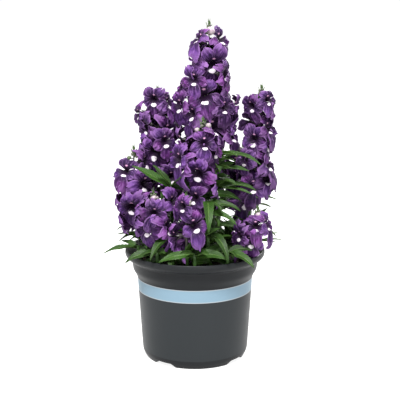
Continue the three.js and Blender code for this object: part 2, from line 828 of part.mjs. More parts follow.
show("pot", makePot(), potGrey);
show("soil", makeSoil(stems), soilBrown);
spikes.forEach((spike, i) => {
  const { axis } = stems[i];
  show("blooms_" + spike.name, makeBlooms(spike, axis, drawsFrom(1000 + 37 * i)), bloomPurple);
  show("buds_" + spike.name, makeBuds(spike, axis), budPale);
});
stems.forEach((stem, i) => {
  const leaves = makeLeaves(stem, drawsFrom(5000 + 53 * i));
  show(stem.name, joined([makeStem(stem), ...leaves]), leafGreen);
});

export default plant;
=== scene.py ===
"""A potted angelonia with two-lipped blooms, toothed leaves and a thin nursery pot.

Growth rules are in millimetres and degrees, with +Z up and the front towards -Y. Every mesh is
turned to metres when it is made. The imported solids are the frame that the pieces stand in.
"""

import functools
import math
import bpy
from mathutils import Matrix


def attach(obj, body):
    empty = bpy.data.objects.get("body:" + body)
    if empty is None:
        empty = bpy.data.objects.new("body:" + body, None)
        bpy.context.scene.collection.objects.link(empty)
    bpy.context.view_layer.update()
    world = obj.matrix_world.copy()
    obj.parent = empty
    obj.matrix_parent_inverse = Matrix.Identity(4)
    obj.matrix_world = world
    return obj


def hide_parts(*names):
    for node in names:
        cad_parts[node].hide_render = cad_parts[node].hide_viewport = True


bl_info = {
    "name": "Potted Angelonia",
    "version": (1, 0, 0),
    "blender": (4, 5, 0),
    "location": "3D View > Sidebar > Angelonia",
    "description": "Builds a potted angelonia: pot, soil, blooms, buds, stems and leaves",
    "category": "Add Mesh",
}

import bpy
import numpy as np
from bpy.props import FloatProperty, FloatVectorProperty, IntProperty, PointerProperty
from mathutils import Matrix

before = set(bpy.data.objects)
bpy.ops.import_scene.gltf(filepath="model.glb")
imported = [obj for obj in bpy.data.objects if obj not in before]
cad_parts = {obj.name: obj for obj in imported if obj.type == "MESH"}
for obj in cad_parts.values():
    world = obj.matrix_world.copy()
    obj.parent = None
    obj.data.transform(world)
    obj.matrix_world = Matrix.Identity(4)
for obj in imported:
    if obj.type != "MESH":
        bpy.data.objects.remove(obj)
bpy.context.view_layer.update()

MM = 0.001
UP = np.array([0.0, 0.0, 1.0])

# Pot
POT_HEIGHT = 97.5
LIP_RADIUS = 62.5
LIP_FOOT = 88.6
COLLAR_RADIUS = 56.3
COLLAR_FOOT_RADIUS = 55.4
COLLAR_FOOT = 80.5
WAIST_RADIUS = 51.6
WAIST_HEIGHT = 74
BODY_FOOT_RADIUS = 47.3
FOOT_RADIUS = 44.4
FOOT_CORNER = 5.5
FOOT_RING = 4.4
WALL = 1.5
FLOOR_RISE = 3.6
PAD_RADIUS = 15
NOTCH_COUNT = 4
NOTCH_TURN = 53.5
NOTCH_HALF_TOP = 6.9
NOTCH_HALF_FOOT = 11.8
DRAIN_RADIUS = 4
DRAIN_REACH = 31
# FOOT_LINE is where the painted light on the body begins above the darker foot, and FOOT_BLUR how
# far it blurs.
FOOT_LINE = 7.5
FOOT_BLUR = 0.6
PRINT_BLUR = 0.1
STRIPE_BORDER = 0.7

# Soil
SOIL_TOP = 84
SOIL_GAP = 0.4
SOIL_RELIEF = 1.6

# Stems, blooms, buds and leaves
STEM_FOOT_RADIUS = 1.7
STEM_TOP_RADIUS = 1.15
SPIKE_TOP_RADIUS = 0.75
SPIKE_FOOT = 5
JOIN_GAP = 0.3
LIP_GAP = 0.5
STEM_DEPTH = 3
BALL_STEP = 2.2
BALL_MARGIN = 0.5
BUD_BALL = 2.4
BLOOM_SIZE = 12.2
BLOOM_REACH = 16
YOUNG_REACH = 10
BLOOM_STEP = 14
PAIR_SHIFT = 3.5
YOUNGEST_BLOOM = 14
HIGHEST_PAIR = 17
BEHIND = -0.4
YOUNG_LENGTH = 22
AGING_LENGTH = 100
BUD_ZONE = 13
BUD_COUNT = 3
GREEN_BUDS = 9
END_BRACTS = 3
SPIRAL_TURN = 137.5
LEAF_WIDTH = 9.2
LOW_LEAF_HEIGHT = 89
LOW_LEAVES = 5
MOST_ROLL = 0.8
ROLL_REACH = 25

# How near blooms and leaves may come to others, as shares of their balls' radii.
OWN_BLOOM_SHARE = 0.52
LATE_OWN_SHARE = 0.3
LATE_BLOOM_SHARE = 0.45
LATE_LEAF_SHARE = 0.35
LOW_LEAF_SHARE = 0.5
YOUNG_LEAF_SHARE = 0.6

# Petals. From OPENING_START under the tip down, blooms open over OPENING_LENGTH, and grow from
# BUDDING to FULLNESS.
LIP = 270
OPENING_START = 16
OPENING_LENGTH = 34
BUDDING = 1.1
FULLNESS = 1.15
OPEN_REACH = 2
NOD_RANGE = (-27, 15)
MOST_YAW = 27
TONE_SPREAD = 0.5
THROAT_SHARE = 0.38
THROAT_DEPTH = 5.2
PETAL_THICKNESS = 0.5
CRUMPLE = 0.85
LIP_CRUMPLE = 0.6

# Seeds of the draws, to which each spike or stem adds a step for every one before it, or numbers
# of its own.
BLOOM_SEED, LATE_BLOOM_SEED, NOD_SEED, BUD_SEED = 1000, 11000, 9000, 7000
LEAF_SEED, YOUNG_LEAF_SEED, LOW_LEAF_SEED, BLADE_SEED = 5000, 13000, 15000, 3000
SPIKE_STEP, STEM_STEP = 37, 53

# Stem skins, each with the two colours between which it is streaked: that of stalks, calyces and
# spikes, and that of the stems below the blooms.
PLUM_SKIN = ("waxy plum stem skin", "22132a", "3a3a2a")
GREEN_SKIN = ("waxy green stem skin", "223d18", "42622d")

# The studio lights, in metres and watts: where each stands, its size and its power. They are
# turned towards LIT_POINT.
LIT_POINT = (0, 0, 0.15)
LIGHTS = [
    ("key", (-0.15, -0.85, 1.45), 0.3, 60),
    ("fill", (0.45, -1.3, 0.2), 0.6, 5),
    ("back", (0.5, 1.1, 1.0), 0.8, 34),
]
SKY_STRENGTH = 1.03
FLOOR_REACH = 6.0
SENSOR_WIDTH = 36
CLIP_RANGE = (0.05, 50)

# The flowering shoots. foot is where a stem leaves the soil, tip the end of its buds and lean how
# far its upper spike slants. leaves counts its pairs of leaves, and leaf_turn turns the lowest.
# seen are the blooms on its front, as height, facing and, for some, reach. The others stand in
# opposite pairs from the height low up, the lowest pair turned by turn. late are small blooms in
# between. spread is how far its open blooms move outwards, top_rise how far the youngest move up,
# growth a factor on their size and shade the painted shade on its petals: how much darker they are
# painted where the spike stands back in shade, or lighter where it stands in front. bud_sizes and
# bud_paleness belong to its round buds, and bud_shift moves the first of them.
SPIKES = [
    dict(
        name="middle_tall", foot=(7, 8), tip=(12.5, 12, 296.5), lean=(1, 0),
        low=187, turn=35, leaves=4, leaf_turn=72, bud_sizes=(1.5, 1, 1), shade=0.05,
        top_rise=2.5, bud_shift=(0.5, -5, -2),
        late=[
            (250, 44, 17), (222, 40, 18), (216, -44, 18), (246, -38, 17), (221, 84, 21),
            (222, -76, 23), (196, 66, 23), (190, -80, 24), (236, -90, 21), (276, 5, 9),
        ],
        seen=[
            (258, 16), (232, -12), (204, 18), (276, 66), (276, -50), (263, 78), (261, -58),
            (244, -78), (239, 76), (229, -84), (223, 66), (213, -70), (203, 80),
        ],
    ),
    dict(
        name="front_middle", foot=(5, -16), tip=(7, -32, 217.5), lean=(3, 0),
        low=156, turn=20, leaves=2, leaf_turn=40, shade=-0.15,
        bud_sizes=(0.85, 1, 0.85), bud_paleness=0.85, bud_shift=(4.5, -3, 1), top_rise=-5,
        late=[(178, -52, 18), (150, -20, 15)],
        seen=[(171, -14), (199, 10), (195, -76), (191, 54), (183, -84, 17.5), (161, 54)],
    ),
    dict(
        name="left_back", foot=(-24, 14), tip=(-33, 18, 239.5), lean=(0, 0),
        low=150, turn=60, leaves=3, leaf_turn=-62, bud_sizes=(0.8, 0.8, 0.8), bud_paleness=0.3,
        shade=0.15,
        late=[
            (192, 20, 17), (160, 30, 18), (150, 70, 18), (180, 84, 22), (214, -84, 18),
        ],
        seen=[
            (225, -36), (200, 42), (182, -12), (222, 54), (203, -62), (213, 84), (186, -76),
            (158, 78),
        ],
    ),
    dict(
        name="far_left", foot=(-41, -4), tip=(-53, -8, 190.5), lean=(0, 0),
        low=128, turn=30, leaves=1, leaf_turn=20, bud_sizes=(0.7, 0.7, 0.7), bud_paleness=0.1,
        spread=0.5,
        late=[(140, 60, 17)],
        seen=[(137, -18), (167, -50), (157, 36), (148, -66), (131, -84)],
    ),
    dict(
        name="left_front", foot=(-28, -30), tip=(-35, -41, 158), lean=(-2, -2),
        low=120, turn=10, leaves=1, leaf_turn=60, shade=-0.15,
        late=[(131, -88, 15)],
        seen=[(137, 0), (143, 78, 15), (140, -72), (124, -34), (125, 54)],
    ),
    dict(
        name="right_tall", foot=(41, 2), tip=(58, 4, 242), lean=(4, 0),
        low=150, turn=50, leaves=2, leaf_turn=-58, bud_sizes=(0.8, 0.8, 0.8), bud_paleness=0.3,
        growth=0.85, spread=-3, shade=0.35,
        late=[(176, -40, 18), (168, -84, 18)],
        seen=[
            (221, -50), (194, -30), (153, -4), (226, 36), (218, 80), (204, 62), (189, 42),
            (182, -76), (172, 24), (162, -68), (159, 56),
        ],
    ),
    dict(
        name="right_front", foot=(41, -22), tip=(54, -28, 141), lean=(1, -1),
        low=104, turn=20, leaves=0, leaf_turn=75, spread=-0.5, shade=-0.05, top_rise=-3,
        bud_sizes=(0.9, 0.9, 0.9),
        late=[(119, -52, 18), (128, -8, 11)],
        seen=[(112, -18), (124, -78), (125, 68), (105, -66)],
    ),
    dict(
        name="front_low", foot=(-6, -40), tip=(-7, -51, 157), lean=(0, -2),
        low=116, turn=25, leaves=1, leaf_turn=80, shade=-0.1,
        seen=[(143, -28), (129, 40), (133, -38), (117, -76)],
    ),
    dict(
        name="back_middle", foot=(6, 30), tip=(12, 50, 222), lean=(0, 3),
        low=150, turn=8, leaves=2, leaf_turn=50, seen=[],
    ),
    dict(
        name="back_left", foot=(-26, 33), tip=(-38, 49, 182), lean=(-2, 2),
        low=126, turn=50, leaves=2, leaf_turn=10, seen=[],
    ),
    dict(
        name="back_right", foot=(28, 30), tip=(46, 45, 190), lean=(2, 2),
        low=134, turn=30, leaves=2, leaf_turn=15, seen=[],
    ),
]

# The leafy shoots, with their pairs of leaves from the top down. turn is the way the top pair
# faces, climb the angle at which its leaves set out and droop how far they bend down. late are
# narrow leaves between them, as height, facing, climb, droop, length and width.
LEAFY_SHOOTS = [
    dict(
        name="leaves_middle", foot=(13, -11), tip=(18, -13, 184),
        pairs=6, turn=86, climb=25, droop=60, length=42,
        late=[
            (171, 68, 14, 26, 31, 9), (164, 62, 6, 40, 22, 7), (156, 70, 4, 24, 34, 7),
            (178, 60, 30, 50, 20, 6),
        ],
    ),
    dict(
        name="leaves_left_middle", foot=(-14, -18), tip=(-20, -25, 159),
        pairs=3, turn=-92, climb=8, droop=10, length=36,
    ),
    dict(
        name="leaves_front", foot=(12, -33), tip=(11, -38, 148),
        pairs=4, turn=14, climb=30, droop=112, length=46,
        late=[
            (143, 78, 30, 70, 30, 6), (137, 62, 20, 70, 30, 6), (116, 40, 24, 60, 26, 6),
        ],
    ),
    dict(
        name="leaves_front_left", foot=(-17, -30), tip=(-19, -34, 118),
        pairs=3, turn=-38, climb=14, droop=68, length=36,
    ),
    dict(
        name="leaves_rim_left", foot=(-28.5, -37), tip=(-32, -41, 105),
        pairs=2, turn=-70, climb=16, droop=50, length=28,
    ),
    dict(
        name="leaves_rim_middle", foot=(0, -46.5), tip=(0, -51, 105),
        pairs=2, turn=88, climb=14, droop=46, length=32,
    ),
    dict(
        name="leaves_rim_right", foot=(26, -38.5), tip=(28, -43, 106),
        pairs=2, turn=66, climb=16, droop=50, length=30,
    ),
    dict(
        name="leaves_left", foot=(-45, -11.5), tip=(-50, -13, 103),
        pairs=2, turn=-82, climb=14, droop=30, length=31,
    ),
    dict(
        name="leaves_right", foot=(46, 6), tip=(51, 7, 103),
        pairs=2, turn=88, climb=8, droop=14, length=24,
        late=[(100, 75, 26, 30, 28, 6), (103, 100, 30, 35, 26, 5)],
    ),
    dict(
        name="leaves_back_right", foot=(41, 21.5), tip=(46, 25, 108),
        pairs=3, turn=120, climb=40, droop=80, length=36,
    ),
    dict(
        name="leaves_back", foot=(14.5, 44), tip=(17, 50, 106),
        pairs=3, turn=170, climb=40, droop=85, length=38,
    ),
    dict(
        name="leaves_back_far", foot=(-11.5, 44.5), tip=(-13, 50, 104),
        pairs=3, turn=-160, climb=40, droop=85, length=38,
    ),
    dict(
        name="leaves_back_left", foot=(-42, 19.5), tip=(-48, 22, 108),
        pairs=3, turn=-115, climb=40, droop=80, length=36,
    ),
]

# A bloom's lobes, the lip first. Angles lie in the bloom's face, with 90 degrees upwards. length
# and forward are shares of the bloom's size and half is half an angle: they give the balls that
# keep a place free. reach and breadth are the petal's length and half its width, rise and fall how
# far it comes forward and bends back, and fold how far its sides turn back, as shares too. twist
# lifts one side and lowers the other.
LOBES = [
    dict(middle=LIP, length=1.25, half=33, forward=0.26),
    dict(middle=342, length=1.0, half=26, forward=0.1),
    dict(middle=55, length=1.0, half=27, forward=0.02),
    dict(middle=125, length=1.0, half=27, forward=0.02),
    dict(middle=198, length=1.0, half=26, forward=0.1),
]
PETALS = [
    dict(middle=LIP, reach=1.52, breadth=0.63, rise=0.52, fall=0.5, fold=0.52, twist=0),
    dict(middle=340, reach=1.06, breadth=0.47, rise=0.34, fall=0.34, fold=0.5, twist=-0.35),
    dict(middle=60, reach=1.2, breadth=0.48, rise=0.16, fall=0.36, fold=0.42, twist=-0.16),
    dict(middle=120, reach=1.2, breadth=0.48, rise=0.16, fall=0.36, fold=0.42, twist=0.16),
    dict(middle=200, reach=1.06, breadth=0.47, rise=0.34, fall=0.34, fold=0.5, twist=0.35),
]


# Numbers and directions


def draws_from(seed):
    """A seeded draw: state = state * 16807 mod (2^31 - 1), scaled to lie between low and high."""
    state = seed

    def draw(low, high):
        nonlocal state
        state = (state * 16807) % 2147483647
        return low + (high - low) * state / 2147483647

    return draw


def outwards(degrees):
    """The level direction that lies this many degrees from the front, towards +X."""
    turn = math.radians(degrees)
    return np.array([math.sin(turn), -math.cos(turn), 0.0])


def mix(low, high, share):
    """The value that lies this share of the way from low to high."""
    return low + (high - low) * share


def smooth(share):
    """The smooth step 3 t^2 - 2 t^3 of a share held between 0 and 1."""
    t = np.clip(share, 0, 1)
    return t * t * (3 - 2 * t)


def unit(vector):
    """The vector divided by its length."""
    return vector / np.linalg.norm(vector, axis=-1, keepdims=True)


def curve_point(poles, t):
    """A cubic curve at the shares t: the sum of its four poles times the Bernstein weights."""
    t = np.asarray(t, float)[..., None]
    back = 1 - t
    weights = [back**3, 3 * back**2 * t, 3 * back * t**2, t**3]
    return sum(weight * pole for weight, pole in zip(weights, poles))


# Stems


def axis_of(foot, tip, lean):
    """The four poles of a stem's axis, splayed at the soil and nearly upright along the spike."""
    foot = np.array([foot[0], foot[1], SOIL_TOP], float)
    tip = np.array(tip, float)
    rise = tip[2] - SOIL_TOP
    low = [mix(foot[0], tip[0], 0.45), mix(foot[1], tip[1], 0.45), foot[2] + 0.25 * rise]
    high = [tip[0] - lean[0], tip[1] - lean[1], tip[2] - 0.55 * rise]
    return [foot, np.array(low), np.array(high), tip]


def axis_point(poles, z):
    """The axis at the heights z, found by halving, because every axis only rises."""
    z = np.asarray(z, float)
    low, high = np.zeros_like(z), np.ones_like(z)
    for _ in range(40):
        middle = (low + high) / 2
        is_below = curve_point(poles, middle)[..., 2] < z
        low, high = np.where(is_below, middle, low), np.where(is_below, high, middle)
    return curve_point(poles, (low + high) / 2)


def list_stems():
    """Every stem with its axis, its top and the levels of its leaf pairs, flowering ones first."""
    stems = []
    for spike in SPIKES:
        top = spike["low"] - SPIKE_FOOT - JOIN_GAP
        levels = []
        for i in range(spike["leaves"]):
            share = 0.5 if spike["leaves"] == 1 else i / (spike["leaves"] - 1)
            z = mix(SOIL_TOP + 10, top - 4, share)
            turn = spike["leaf_turn"] + 90 * i
            levels.append(dict(z=z, turn=turn, climb=42, droop=60, length=48 - 8 * share))
        axis = axis_of(spike["foot"], spike["tip"], spike["lean"])
        stems.append(dict(name="stem_" + spike["name"], axis=axis, top=top, levels=levels))
    for shoot in LEAFY_SHOOTS:
        tip = shoot["tip"]
        levels = []
        for i in range(shoot["pairs"]):
            share = i / shoot["pairs"]
            levels.append(
                dict(
                    z=mix(tip[2] - 2, SOIL_TOP + 4, share),
                    turn=shoot["turn"] + 90 * i,
                    climb=shoot["climb"] - 10 * share,
                    droop=shoot["droop"],
                    length=shoot["length"] * (1 - 0.25 * share),
                )
            )
        axis = axis_of(shoot["foot"], tip, (0, 0))
        late = shoot.get("late", [])
        stems.append(dict(name=shoot["name"], axis=axis, top=tip[2], levels=levels, late=late))
    return stems


# Beads: balls that cover what stands already and keep a new bloom or leaf clear of it.


class Standing:
    """The balls of everything that stands, each with its node and whether it is on a stem."""

    def __init__(self):
        self.centres = np.empty((0, 3))
        self.radii = np.empty(0)
        self.nodes = np.empty(0, "U32")
        self.are_stems = np.empty(0, bool)

    def stand(self, node, centres, radii, is_stem=False):
        """Adds balls to those that stand."""
        count = len(centres)
        self.centres = np.concatenate([self.centres, centres])
        self.radii = np.concatenate([self.radii, np.broadcast_to(radii, count)])
        self.nodes = np.concatenate([self.nodes, np.full(count, node)])
        self.are_stems = np.concatenate([self.are_stems, np.full(count, is_stem)])

    def stand_stem(self, node, axis, low, high, radius):
        """Adds the balls of a stem between two heights."""
        heights = np.linspace(low, high, math.ceil((high - low) / BALL_STEP) + 1)
        self.stand(node, axis_point(axis, heights), radius + BALL_MARGIN, is_stem=True)

    def is_clear(self, node, centres, radii, own_share, share):
        """Whether new balls clear the pot, and all that stands by a share of their radii."""
        radii = np.broadcast_to(radii, len(centres))
        if not clear_of_pot(centres, radii).all():
            return False
        middle = centres.mean(axis=0)
        reach = (np.linalg.norm(centres - middle, axis=1) + radii).max()
        near = np.linalg.norm(self.centres - middle, axis=1) <= reach + self.radii
        own = np.where(self.are_stems[near], 0, own_share)
        shares = np.where(self.nodes[near] == node, own, share)
        apart = np.linalg.norm(self.centres[near][:, None] - centres, axis=2)
        least = (self.radii[near][:, None] + radii) * shares[:, None]
        return bool((apart >= least).all())

    def settle(self, node, place, beads_of, own_share, share=1):
        """Lets a bloom or leaf stand in its place if it is clear there, and says whether it is."""
        centres, radii = beads_of(place)
        is_clear = self.is_clear(node, centres, radii, own_share, share)
        if is_clear:
            self.stand(node, centres, radii)
        return is_clear

    def settle_first(self, node, places, beads_of, own_share):
        """Lets a bloom or leaf stand in the first place that is clear, and gives it, or None."""
        for place in places:
            if self.settle(node, place, beads_of, own_share):
                return place
        return None


def clear_of_pot(centres, radii):
    """Whether balls lie above or outside the lip, or inside it and above the soil."""
    reach = np.hypot(centres[:, 0], centres[:, 1])
    low = centres[:, 2] - radii
    outside = (low > POT_HEIGHT + LIP_GAP) | (reach - radii > LIP_RADIUS + LIP_GAP)
    inside = (low > SOIL_TOP + SOIL_RELIEF) & (reach + radii < COLLAR_RADIUS - WALL - LIP_GAP)
    return outside | inside


# Where the blooms stand


def on_face(bloom, degrees, distance, forward):
    """Points of a bloom's face, by angle from its right, distance from its middle and height."""
    turn = np.radians(degrees)
    across = np.asarray(distance * np.cos(turn))[..., None] * bloom["right"]
    along = np.asarray(distance * np.sin(turn))[..., None] * bloom["up"]
    return bloom["mouth"] + across + along + np.asarray(forward)[..., None] * bloom["facing"]


def bloom_frame(axis, rule, swing, share):
    """A bloom's mouth, facing, right and up, for a rule swung round its stem and drawn in."""
    out = outwards(rule["degrees"] + swing)
    tilt = math.radians(rule["tilt"])
    facing = out * math.cos(tilt) + UP * math.sin(tilt)
    level = unit(np.cross(UP, facing))
    roll = math.radians(rule["roll"])
    right = level * math.cos(roll) + np.cross(facing, level) * math.sin(roll)
    root = axis_point(axis, rule["z"])
    reach = rule["reach"] * share
    return dict(
        root=root,
        out=out,
        mouth=root + out * reach + UP * reach * rule["rise"],
        facing=facing,
        right=right,
        up=np.cross(facing, right),
        size=rule["size"] * min(1, 0.4 + 0.6 * share),
    )


def bloom_beads(bloom):
    """The balls that cover a bloom: two behind its throat and three on each lobe."""
    centres = [on_face(bloom, 0, 0, -2.6), on_face(bloom, 0, 0, -7)]
    radii = [4, 1.8]
    for lobe in LOBES:
        length = bloom["size"] * lobe["length"]
        forward = bloom["size"] * lobe["forward"]
        centres.append(on_face(bloom, lobe["middle"], 0.46 * length, 0.3 * forward))
        radii.append(2.6)
        for side in (-0.55, 0.55):
            degrees = lobe["middle"] + side * lobe["half"]
            centres.append(on_face(bloom, degrees, 0.78 * length, 0.7 * forward))
            radii.append(2.7)
    return np.array(centres), np.array(radii)


def bloom_rules(spike, draw):
    """Every bloom of a spike: those seen on its front, then the pairs that its rule adds, where
    the cosine of their facing lies under BEHIND or none are seen."""
    tip = spike["tip"][2]
    rules = []

    def add(z, degrees, reach=None):
        below = tip - YOUNGEST_BLOOM - z
        age = min(max(below / AGING_LENGTH, 0), 1)
        young = max(0, 1 - below / YOUNG_LENGTH)
        rules.append(
            dict(
                z=z,
                degrees=degrees,
                reach=mix(YOUNG_REACH, BLOOM_REACH, age) if reach is None else reach,
                rise=0.12 + 0.3 * young,
                tilt=3 + 20 * young + draw(-8, 8),
                roll=draw(-12, 12),
                size=BLOOM_SIZE * (1 - 0.22 * young) * draw(0.94, 1.04),
            )
        )

    for seen in spike["seen"]:
        add(*seen)
    for i in range(math.floor((tip - HIGHEST_PAIR - spike["low"]) / BLOOM_STEP) + 1):
        for half in (0, 1):
            z = spike["low"] + i * BLOOM_STEP + half * PAIR_SHIFT + draw(-1.2, 1.2)
            degrees = spike["turn"] + 90 * i + 180 * half + draw(-9, 9)
            if not spike["seen"] or math.cos(math.radians(degrees)) < BEHIND:
                add(z, degrees)
    return rules


def bloom_places(axis, rule):
    """Where a bloom could stand: as its rule says, then swung round the stem and drawn in."""
    for share in (1, 1.15, 0.88, 0.76, 0.64):
        for swing in (0, 10, -10, 20, -20, 30, -30, 40, -40):
            yield bloom_frame(axis, rule, swing, share)


def bud_place(axis, tip, i):
    """The root, direction and middle of a round bud. The buds turn in a spiral down the stem."""
    root = axis_point(axis, tip - 8 - 1.6 * i)
    out = outwards(SPIRAL_TURN * i + 10)
    return root, out, root + out * (2.4 + 1.1 * i) + UP * 1.2


# Where the leaves lie


def leaf_point(leaf, share, across, lift):
    """Points of a blade. Its midrib is an arc that sets out at climb and bends down by droop:
    run = L / bend * (sin start - sin here) and rise = L / bend * (cos here - cos start)."""
    start, bend = math.radians(leaf["climb"]), math.radians(leaf["droop"])
    here = start - bend * share
    run = leaf["length"] / bend * (math.sin(start) - np.sin(here))
    rise = leaf["length"] / bend * (np.cos(here) - math.cos(start))
    sideways = across * math.cos(leaf["roll"]) - lift * math.sin(leaf["roll"])
    upwards = across * math.sin(leaf["roll"]) + lift * math.cos(leaf["roll"])
    side = np.cross(leaf["out"], UP)
    along = (run - upwards * np.sin(here))[..., None] * leaf["out"]
    high = (rise + upwards * np.cos(here))[..., None] * UP
    return leaf["root"] + along + high + np.asarray(sideways)[..., None] * side


def leaf_roll(root, out):
    """How far a blade that lies along the pot's edge turns its face away from the middle."""
    distance = math.hypot(root[0], root[1])
    share = min(1, distance / ROLL_REACH) / distance
    return MOST_ROLL * share * (out[0] * root[1] - out[1] * root[0])


def half_width(leaf, share):
    """Half a blade's width: half its greatest width times sin(pi share^0.72)^0.85, or times 0.2
    where that is less."""
    return leaf["width"] / 2 * np.maximum(0.2, np.sin(np.pi * share**0.72) ** 0.85)


def leaf_beads(leaf):
    """The balls that cover a blade, in two rows along it."""
    share = np.arange(1, 13)[:, None] * 0.08
    half = half_width(leaf, share) / 2
    centres = leaf_point(leaf, share, half * np.array([-1, 1]), 0 * half)
    radii = np.broadcast_to(1.1 + half * 0.6, (12, 2))
    return centres.reshape(-1, 3), radii.ravel()


def leaf_at(root, degrees, climb, droop, length, width):
    """A leaf that faces this way from its root, with its roll and the measures of its arc."""
    out = outwards(degrees)
    roll = leaf_roll(root, out)
    return dict(root=root, out=out, roll=roll, climb=climb, droop=droop, length=length, width=width)


def leaf_places(rule):
    """Where a leaf could lie: as its rule says, then raised, turned or shortened."""
    for share in (1, 0.85, 0.7):
        length, width = rule["length"] * share, rule["width"] * (0.5 + 0.5 * share)
        for swing in (0, 14, -14, 28, -28, 42, -42):
            degrees = rule["degrees"] + swing
            for lift in (0, 15, -15, 30):
                climb = rule["climb"] + lift
                yield leaf_at(rule["root"], degrees, climb, rule["droop"], length, width)


# Growth, from the stems to the lowest leaves


@functools.cache
def grown():
    """Sets every bloom and leaf in turn, clear of what stands, and returns the lists of both."""
    standing = Standing()
    stems = list_stems()
    for stem in stems:
        standing.stand_stem(stem["name"], stem["axis"], SOIL_TOP, stem["top"], STEM_FOOT_RADIUS)
    for spike, stem in zip(SPIKES, stems):
        low, tip = spike["low"] - SPIKE_FOOT, spike["tip"][2]
        standing.stand_stem("blooms_" + spike["name"], stem["axis"], low, tip, STEM_TOP_RADIUS)
        middles = [bud_place(stem["axis"], tip, i)[2] for i in range(BUD_COUNT)]
        standing.stand("buds_" + spike["name"], np.array(middles), BUD_BALL)
    blooms = {}
    for i, (spike, stem) in enumerate(zip(SPIKES, stems)):
        node = "blooms_" + spike["name"]
        blooms[node] = []
        for rule in bloom_rules(spike, draws_from(BLOOM_SEED + SPIKE_STEP * i)):
            places = bloom_places(stem["axis"], rule)
            bloom = standing.settle_first(node, places, bloom_beads, OWN_BLOOM_SHARE)
            if bloom is not None:
                blooms[node].append(bloom)
    for i, stem in enumerate(stems):
        stem["leaves"] = []
        draw = draws_from(LEAF_SEED + STEM_STEP * i)
        for level in stem["levels"]:
            for half in (0, 1):
                rule = dict(
                    root=axis_point(stem["axis"], level["z"] + half * 1.5),
                    degrees=level["turn"] + 180 * half + draw(-14, 14),
                    climb=level["climb"] + draw(-8, 8),
                    droop=level["droop"] + draw(-12, 12),
                    length=level["length"] * draw(0.88, 1.08),
                    width=LEAF_WIDTH * draw(0.85, 1.05),
                )
                leaf = standing.settle_first(stem["name"], leaf_places(rule), leaf_beads, 0)
                if leaf is not None:
                    stem["leaves"].append(leaf)
    add_late_blooms(standing, stems, blooms)
    add_late_leaves(standing, stems)
    add_young_leaves(standing, stems)
    add_low_leaves(standing, stems)
    return stems, blooms


def add_late_blooms(standing, stems, blooms):
    """Adds the small late blooms that press in between the others of a spike."""
    for i, (spike, stem) in enumerate(zip(SPIKES, stems)):
        node = "blooms_" + spike["name"]
        draw = draws_from(LATE_BLOOM_SEED + SPIKE_STEP * i)
        for z, degrees, reach in spike.get("late", []):
            rule = dict(z=z, degrees=degrees, reach=reach, rise=0.1, tilt=draw(-6, 14))
            rule.update(roll=draw(-15, 15), size=BLOOM_SIZE * draw(0.74, 0.86))
            bloom = bloom_frame(stem["axis"], rule, 0, 1)
            if standing.settle(node, bloom, bloom_beads, LATE_OWN_SHARE, LATE_BLOOM_SHARE):
                blooms[node].append(bloom)


def add_leaf(standing, stem, leaf, share):
    """Adds a leaf to its stem, if it clears all that stands by a share of the balls' radii."""
    if standing.settle(stem["name"], leaf, leaf_beads, 0, share):
        stem["leaves"].append(leaf)


def add_late_leaves(standing, stems):
    """Adds the narrow leaves that a shoot lists in late, where there is room."""
    for stem in stems:
        for z, *shape in stem.get("late", []):
            leaf = leaf_at(axis_point(stem["axis"], z), *shape)
            add_leaf(standing, stem, leaf, LATE_LEAF_SHARE)


def add_young_leaves(standing, stems):
    """Adds the small leaves of the side buds, beside each leaf where there is room."""
    for i, stem in enumerate(stems):
        draw = draws_from(YOUNG_LEAF_SEED + STEM_STEP * i)
        for leaf in list(stem["leaves"]):
            degrees = math.degrees(math.atan2(leaf["out"][0], -leaf["out"][1]))
            for side in (-1, 1):
                aside = degrees + side * draw(28, 52)
                share = draw(0.5, 0.75)
                climb = leaf["climb"] + draw(8, 26)
                length, width = leaf["length"] * share, leaf["width"] * (0.3 + 0.6 * share)
                young = leaf_at(leaf["root"], aside, climb, leaf["droop"], length, width)
                add_leaf(standing, stem, young, YOUNG_LEAF_SHARE)


def add_low_leaves(standing, stems):
    """Adds the small leaves at the foot of each stem that hide the soil, where there is room."""
    for i, stem in enumerate(stems):
        draw = draws_from(LOW_LEAF_SEED + STEM_STEP * i)
        for k in range(LOW_LEAVES):
            low = leaf_at(
                axis_point(stem["axis"], LOW_LEAF_HEIGHT + 2 * k),
                draw(-25, 25) + 144 * k + 40 * i,
                droop=draw(35, 75),
                climb=draw(12, 40),
                length=draw(20, 30),
                width=draw(6.5, 9),
            )
            add_leaf(standing, stem, low, LOW_LEAF_SHARE)


# Closed forms from grids of points


def closed_faces(rings, sides):
    """Quads of a closed form: all round it ring by ring, and a strip across each end."""
    i, k = np.meshgrid(np.arange(rings - 1), np.arange(sides), indexing="ij")
    after = (k + 1) % sides
    round_it = [i * sides + k, i * sides + after, (i + 1) * sides + after, (i + 1) * sides + k]
    j = np.arange(sides // 2 - 1)
    first = np.stack([j, sides - 1 - j, sides - 2 - j, j + 1], -1)
    last = first[:, ::-1] + (rings - 1) * sides
    return np.concatenate([np.stack(round_it, -1).reshape(-1, 4), first, last])


def enclosed(points, quads):
    """Six times the volume inside the quads, below zero where they point inwards."""
    a, b, c, d = (points[quads[:, i]] for i in range(4))
    return np.sum(a * np.cross(b, c)) + np.sum(a * np.cross(c, d))


